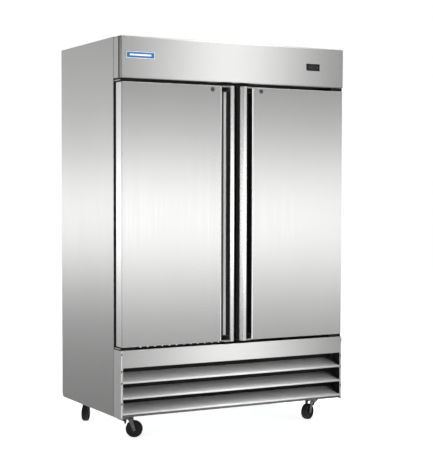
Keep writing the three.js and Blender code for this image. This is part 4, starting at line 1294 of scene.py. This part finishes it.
def compressor():
    """Drawn steel shell on a foot plate, four rubber mounts with nuts, and a terminal cover."""
    cx, cy, base = COMPRESSOR_X, COMPRESSOR_Y, COMPRESSOR_BASE
    profile = in_mm([(0, 0), (70, 0), (82, 4), (87, 14), (88, 28), (88, 84), (90, 85), (90, 91), (88, 92),
                     (88, 116), (86, 134), (78, 152), (62, 168), (38, 177), (14, 180), (0, 180)])
    bm = bmesh.new()
    spin_into(bm, profile, Matrix.Translation((cx, cy, base)), 64)
    for half_x, half_y, low, high, bevel, segments in ((105, 58, -10, -6, 1.5, 3), (60, 40, -7, 5, 2, 2)):
        box_into(bm, (cx - half_x * MM, cy - half_y * MM, base + low * MM),
                 (cx + half_x * MM, cy + half_y * MM, base + high * MM), bevel * MM, segments)
    finish_mesh("compressor_shell", bm, "black_paint", replace=["compressor"], smooth=40)
    mount = in_mm([(0, 0.3), (11, 0.3), (11, 4), (8, 6), (8, 10), (11, 12), (11, 18), (0, 18)])
    bm = bmesh.new()
    for x, y in FEET:
        spin_into(bm, mount, Matrix.Translation((x, y, base - 24 * MM)), 24)
    finish_mesh("compressor_mounts", bm, "gasket_rubber")
    bm = bmesh.new()
    for x, y in FEET:
        hex_into(bm, (x, y, base - 6 * MM), "z", 10 * MM, 5 * MM)
    finish_mesh("compressor_nuts", bm, "bright_zinc")
    side = cx + COMPRESSOR_RADIUS
    bm = bmesh.new()
    box_into(bm, (side - 6 * MM, cy - 31 * MM, base + 48 * MM),
             (side + 33 * MM, cy + 31 * MM, base + 116 * MM), 4 * MM, 4)
    finish_mesh("terminal_cover", bm, "black_plastic")


def pipes_and_drier():
    """Discharge, liquid, capillary and suction lines, and the drier between two of them."""
    lo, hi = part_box("condenser_coil")
    cx, cy, base = COMPRESSOR_X, COMPRESSOR_Y, COMPRESSOR_BASE
    port, row = base + 60 * MM, hi.z - 18 * MM
    drier_x, drier_y, low = hi.x + 30 * MM, 0.02, lo.z + 18 * MM
    discharge = [(cx - 60 * MM, cy - 62 * MM, port), (cx - 80 * MM, cy - 110 * MM, port),
                 (cx - 80 * MM, cy - 200 * MM, port), (hi.x + 14 * MM, cy - 240 * MM, port),
                 (hi.x + 14 * MM, lo.y + 36 * MM, row), (hi.x - 2 * MM, lo.y + 36 * MM, row)]
    liquid = [(hi.x - 2 * MM, lo.y + 14 * MM, low), (drier_x, lo.y + 14 * MM, low), (drier_x, drier_y, low),
              (drier_x, drier_y, 0.250)]
    capillary = [(drier_x, drier_y, 0.37), (drier_x, drier_y, 0.44), (drier_x, 0.34, 0.44),
                 (drier_x, 0.34, 0.492)]
    suction = [(cx - 20 * MM, cy + 84 * MM, base + 100 * MM), (cx - 20 * MM, cy + 150 * MM, base + 100 * MM),
               (cx - 20 * MM, cy + 150 * MM, 0.46), (0.02, 0.34, 0.46), (0.02, 0.34, 0.492)]
    bm = bmesh.new()
    for path, bend, radius, sides in ((discharge, 26 * MM, 4 * MM, 12), (liquid, 20 * MM, 3.2 * MM, 12),
                                      (capillary, 20 * MM, 2.4 * MM, 10), (suction, 26 * MM, 5 * MM, 12)):
        tube_into(bm, smooth_path(path, bend, 6), radius, sides)
    finish_mesh("refrigerant_pipes", bm, "copper", smooth=50)
    bm = bmesh.new()
    body = in_mm([(0, 250), (5, 250), (6, 262), (13, 275), (13, 345), (6, 358), (5, 370), (0, 370)])
    spin_into(bm, body, Matrix.Translation((drier_x, drier_y, 0)), 28)
    finish_mesh("filter_drier", bm, "copper")


def electrics():
    """Control box with three slots on a stand, and the leads to compressor, gland and fan."""
    bm = bmesh.new()
    box_into(bm, (0.43, 0.10, 0.3), (0.60, 0.30, 0.42), 3 * MM, 3)
    for z in (0.33, 0.36, 0.39):
        box_into(bm, (0.45, 0.097, z), (0.58, 0.101, z + 4 * MM), 0.8 * MM)
    finish_mesh("electrical_box", bm, "galvanised")
    bm = bmesh.new()
    for x in (0.45, 0.56):
        box_into(bm, (x, 0.12, 0.1333), (x + 20 * MM, 0.28, 0.30), 1 * MM)
    finish_mesh("electrical_box_stand", bm, "galvanised")
    cx, cy, base = COMPRESSOR_X, COMPRESSOR_Y, COMPRESSOR_BASE
    throat = joint_at("condenser_fan_spin")
    motor_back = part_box("condenser_fan_motor")[1].y
    leads = [
        [(cx + COMPRESSOR_RADIUS + 30 * MM, cy + 10 * MM, base + 60 * MM), (0.40, 0.11, 0.22),
         (0.44, 0.16, 0.26), (0.48, 0.16, 0.305)],
        [(0.52, 0.295, 0.36), (0.53, 0.34, 0.38), (0.555, 0.37, 0.46), (0.56, 0.402, 0.47)],
        [(throat.x + 20 * MM, motor_back - 6 * MM, throat.z + 20 * MM), (throat.x + 90 * MM, -0.05, 0.46),
         (0.30, 0.02, 0.482), (0.45, 0.14, 0.47), (0.48, 0.16, 0.415)],
    ]
    bm = bmesh.new()
    for lead in leads:
        tube_into(bm, smooth_path(lead, 60 * MM, 7), 3.4 * MM, 10)
    finish_mesh("inner_wiring", bm, "wire_jacket", smooth=50)


# ------------------------------------------------------------------ floor and light
FLOOR_GLOW = 0.75                             # a lit floor, nearly as bright as the background


def stage():
    bm = bmesh.new()
    bmesh.ops.create_circle(bm, cap_ends=True, radius=14, segments=96)
    mesh = bpy.data.meshes.new("floor")
    bm.to_mesh(mesh)
    bm.free()
    floor = bpy.data.objects.new("floor", mesh)
    bpy.context.collection.objects.link(floor)
    mat, tree, shader = nodes_of("floor_paper", (0.9, 0.9, 0.9), 0.9)
    shader.inputs["Specular IOR Level"].default_value = 0.0
    shader.inputs["Emission Color"].default_value = (1, 1, 1, 1)
    shader.inputs["Emission Strength"].default_value = FLOOR_GLOW
    floor.data.materials.append(mat)
    floor.visible_glossy = False


def area(name, place, aim, size, power):
    """A square soft light that shows neither in reflections nor to the camera."""
    data = bpy.data.lights.new(name, "AREA")
    data.shape = "RECTANGLE"
    data.size = data.size_y = size
    data.energy = power
    obj = bpy.data.objects.new(name, data)
    bpy.context.collection.objects.link(obj)
    obj.location = place
    obj.rotation_euler = (Vector(aim) - Vector(place)).to_track_quat("-Z", "Y").to_euler()
    obj.visible_glossy = False
    obj.visible_camera = False


# Brightness of the surround by direction. Z is the height above the horizon, Y < 0 the front.
AMBIENT = 0.11                                # everywhere
BAND = {"front": 2.6, "rear": 1.40, "centre": -0.023, "width": 0.035}    # bright strip round the horizon
GLOW = {"front": 0.30, "rear": 0.54, "centre": -0.02, "width": 0.13}     # soft haze either side of it
COLUMN = {"peak": 2.9, "centre": 0.486, "width": 0.023, "overhead": 1.6}  # tall strip light, by its X
REAR = 0.34                                   # pale wall behind, above the horizon
CARDS = [                                     # dark cards: left of the front and far right
    {"depth": 0.60, "width": 0.30, "toward": (-0.44, -0.90)},
    {"depth": 0.80, "width": 0.12, "toward": (0.71, -0.70)},
]
CEILING = 0.6                                 # softbox overhead, in front of the doors
BOUNCE = 0.75                                 # pale floor below the horizon
SHADED = {"centre": 0.60, "width": 0.08, "peak": 0.95}     # where both fall away, by X


def surround(tree):
    """The socket that carries the brightness of the surround in each direction."""
    coord = add(tree, "ShaderNodeTexCoord")
    split = add(tree, "ShaderNodeSeparateXYZ")
    tree.links.new(coord.outputs["Generated"], split.inputs["Vector"])
    across, depth, height = (split.outputs[axis] for axis in "XYZ")

    def math_node(operation, a, b=None, clamp=False):
        node = add(tree, "ShaderNodeMath", operation=operation, use_clamp=clamp)
        for socket, value in zip(node.inputs, (a, b)):
            if isinstance(value, (int, float)):
                socket.default_value = value
            elif value is not None:
                tree.links.new(value, socket)
        return node.outputs["Value"]

    def plus(a, b):
        return math_node("ADD", a, b)

    def times(a, b, clamp=False):
        return math_node("MULTIPLY", a, b, clamp)

    def ramp(value, start, slope):
        return times(math_node("SUBTRACT", value, start), slope, clamp=True)

    def bell(value, centre, width, peak):
        away = math_node("DIVIDE", math_node("SUBTRACT", value, centre), width)
        return times(math_node("EXPONENT", times(times(away, away), -0.5)), peak)

    def dimmed(value, dark):
        return times(value, math_node("SUBTRACT", 1.0, dark))

    def angle_from(toward):
        """Horizontal angle between a direction and one bearing, in radians."""
        ahead = Vector((*toward, 0)).normalized()
        parts = []
        for axis in (Vector((-ahead.y, ahead.x, 0)), ahead):
            node = add(tree, "ShaderNodeVectorMath", operation="DOT_PRODUCT")
            node.inputs[1].default_value = axis
            tree.links.new(coord.outputs["Generated"], node.inputs[0])
            parts.append(node.outputs["Value"])
        return math_node("ARCTAN2", *parts)

    rise, front = ramp(height, 0.28, 2.5), ramp(depth, 0.15, -2.0)
    behind, above, below = ramp(depth, 0.0, 2.0), ramp(height, -0.03, 12.0), ramp(height, -0.17, -4.0)
    total = AMBIENT
    for part in (BAND, GLOW):
        level = plus(times(front, part["front"] - part["rear"]), part["rear"])
        total = plus(times(bell(height, part["centre"], part["width"], 1.0), level), total)
    strip = bell(across, COLUMN["centre"], COLUMN["width"], COLUMN["peak"])
    total = plus(total, times(times(strip, plus(times(rise, 2.5), 1.0)), front))
    wide = bell(across, COLUMN["centre"], 2 * COLUMN["width"], COLUMN["overhead"])
    total = plus(total, times(wide, rise))
    total = plus(total, times(times(behind, above), REAR))
    for card in CARDS:
        total = dimmed(total, bell(angle_from(card["toward"]), 0.0, card["width"], card["depth"]))
    soft = plus(times(times(rise, front), CEILING), times(below, BOUNCE))
    return plus(total, dimmed(soft, bell(across, SHADED["centre"], SHADED["width"], SHADED["peak"])))


def studio():
    """The surround lights the object; the camera itself sees plain white. Two soft lights above."""
    world = bpy.data.worlds.new("studio")
    bpy.context.scene.world = world
    world.use_nodes = True
    tree = world.node_tree
    tree.nodes.clear()
    out = add(tree, "ShaderNodeOutputWorld")
    light = add(tree, "ShaderNodeBackground")
    tree.links.new(surround(tree), light.inputs["Strength"])
    white = add(tree, "ShaderNodeBackground", in_Strength=1.0)
    white.inputs["Color"].default_value = (1, 1, 1, 1)
    seen = add(tree, "ShaderNodeLightPath")
    mix = add(tree, "ShaderNodeMixShader")
    tree.links.new(seen.outputs["Is Camera Ray"], mix.inputs[0])
    tree.links.new(light.outputs["Background"], mix.inputs[1])
    tree.links.new(white.outputs["Background"], mix.inputs[2])
    tree.links.new(mix.outputs["Shader"], out.inputs["Surface"])
    bpy.context.scene.view_settings.view_transform = "Standard"
    area("key_top", (0.5, -1.2, 4.6), (0, -0.4, 0.4), 4.5, 230)
    area("fill_left", (-4.5, -3.0, 2.2), (0, 0, 1.0), 2.5, 60)


doors()
header_box()
controller()
badge()
shell()
grille_surround()
louvre_blades()
grille_trim()
for caster_word in CASTERS:
    caster(caster_word)
for shelf_word, _ in SIDES:
    for shelf_index in (1, 2, 3):
        wire_shelf(f"shelf_{shelf_word}_{shelf_index}")
standards()
lamp()
evaporator()
dress("drain_pan", "galvanised", 0.6 * MM)
condenser()
fan_motor()
compressor()
pipes_and_drier()
electrics()
stage()
studio()
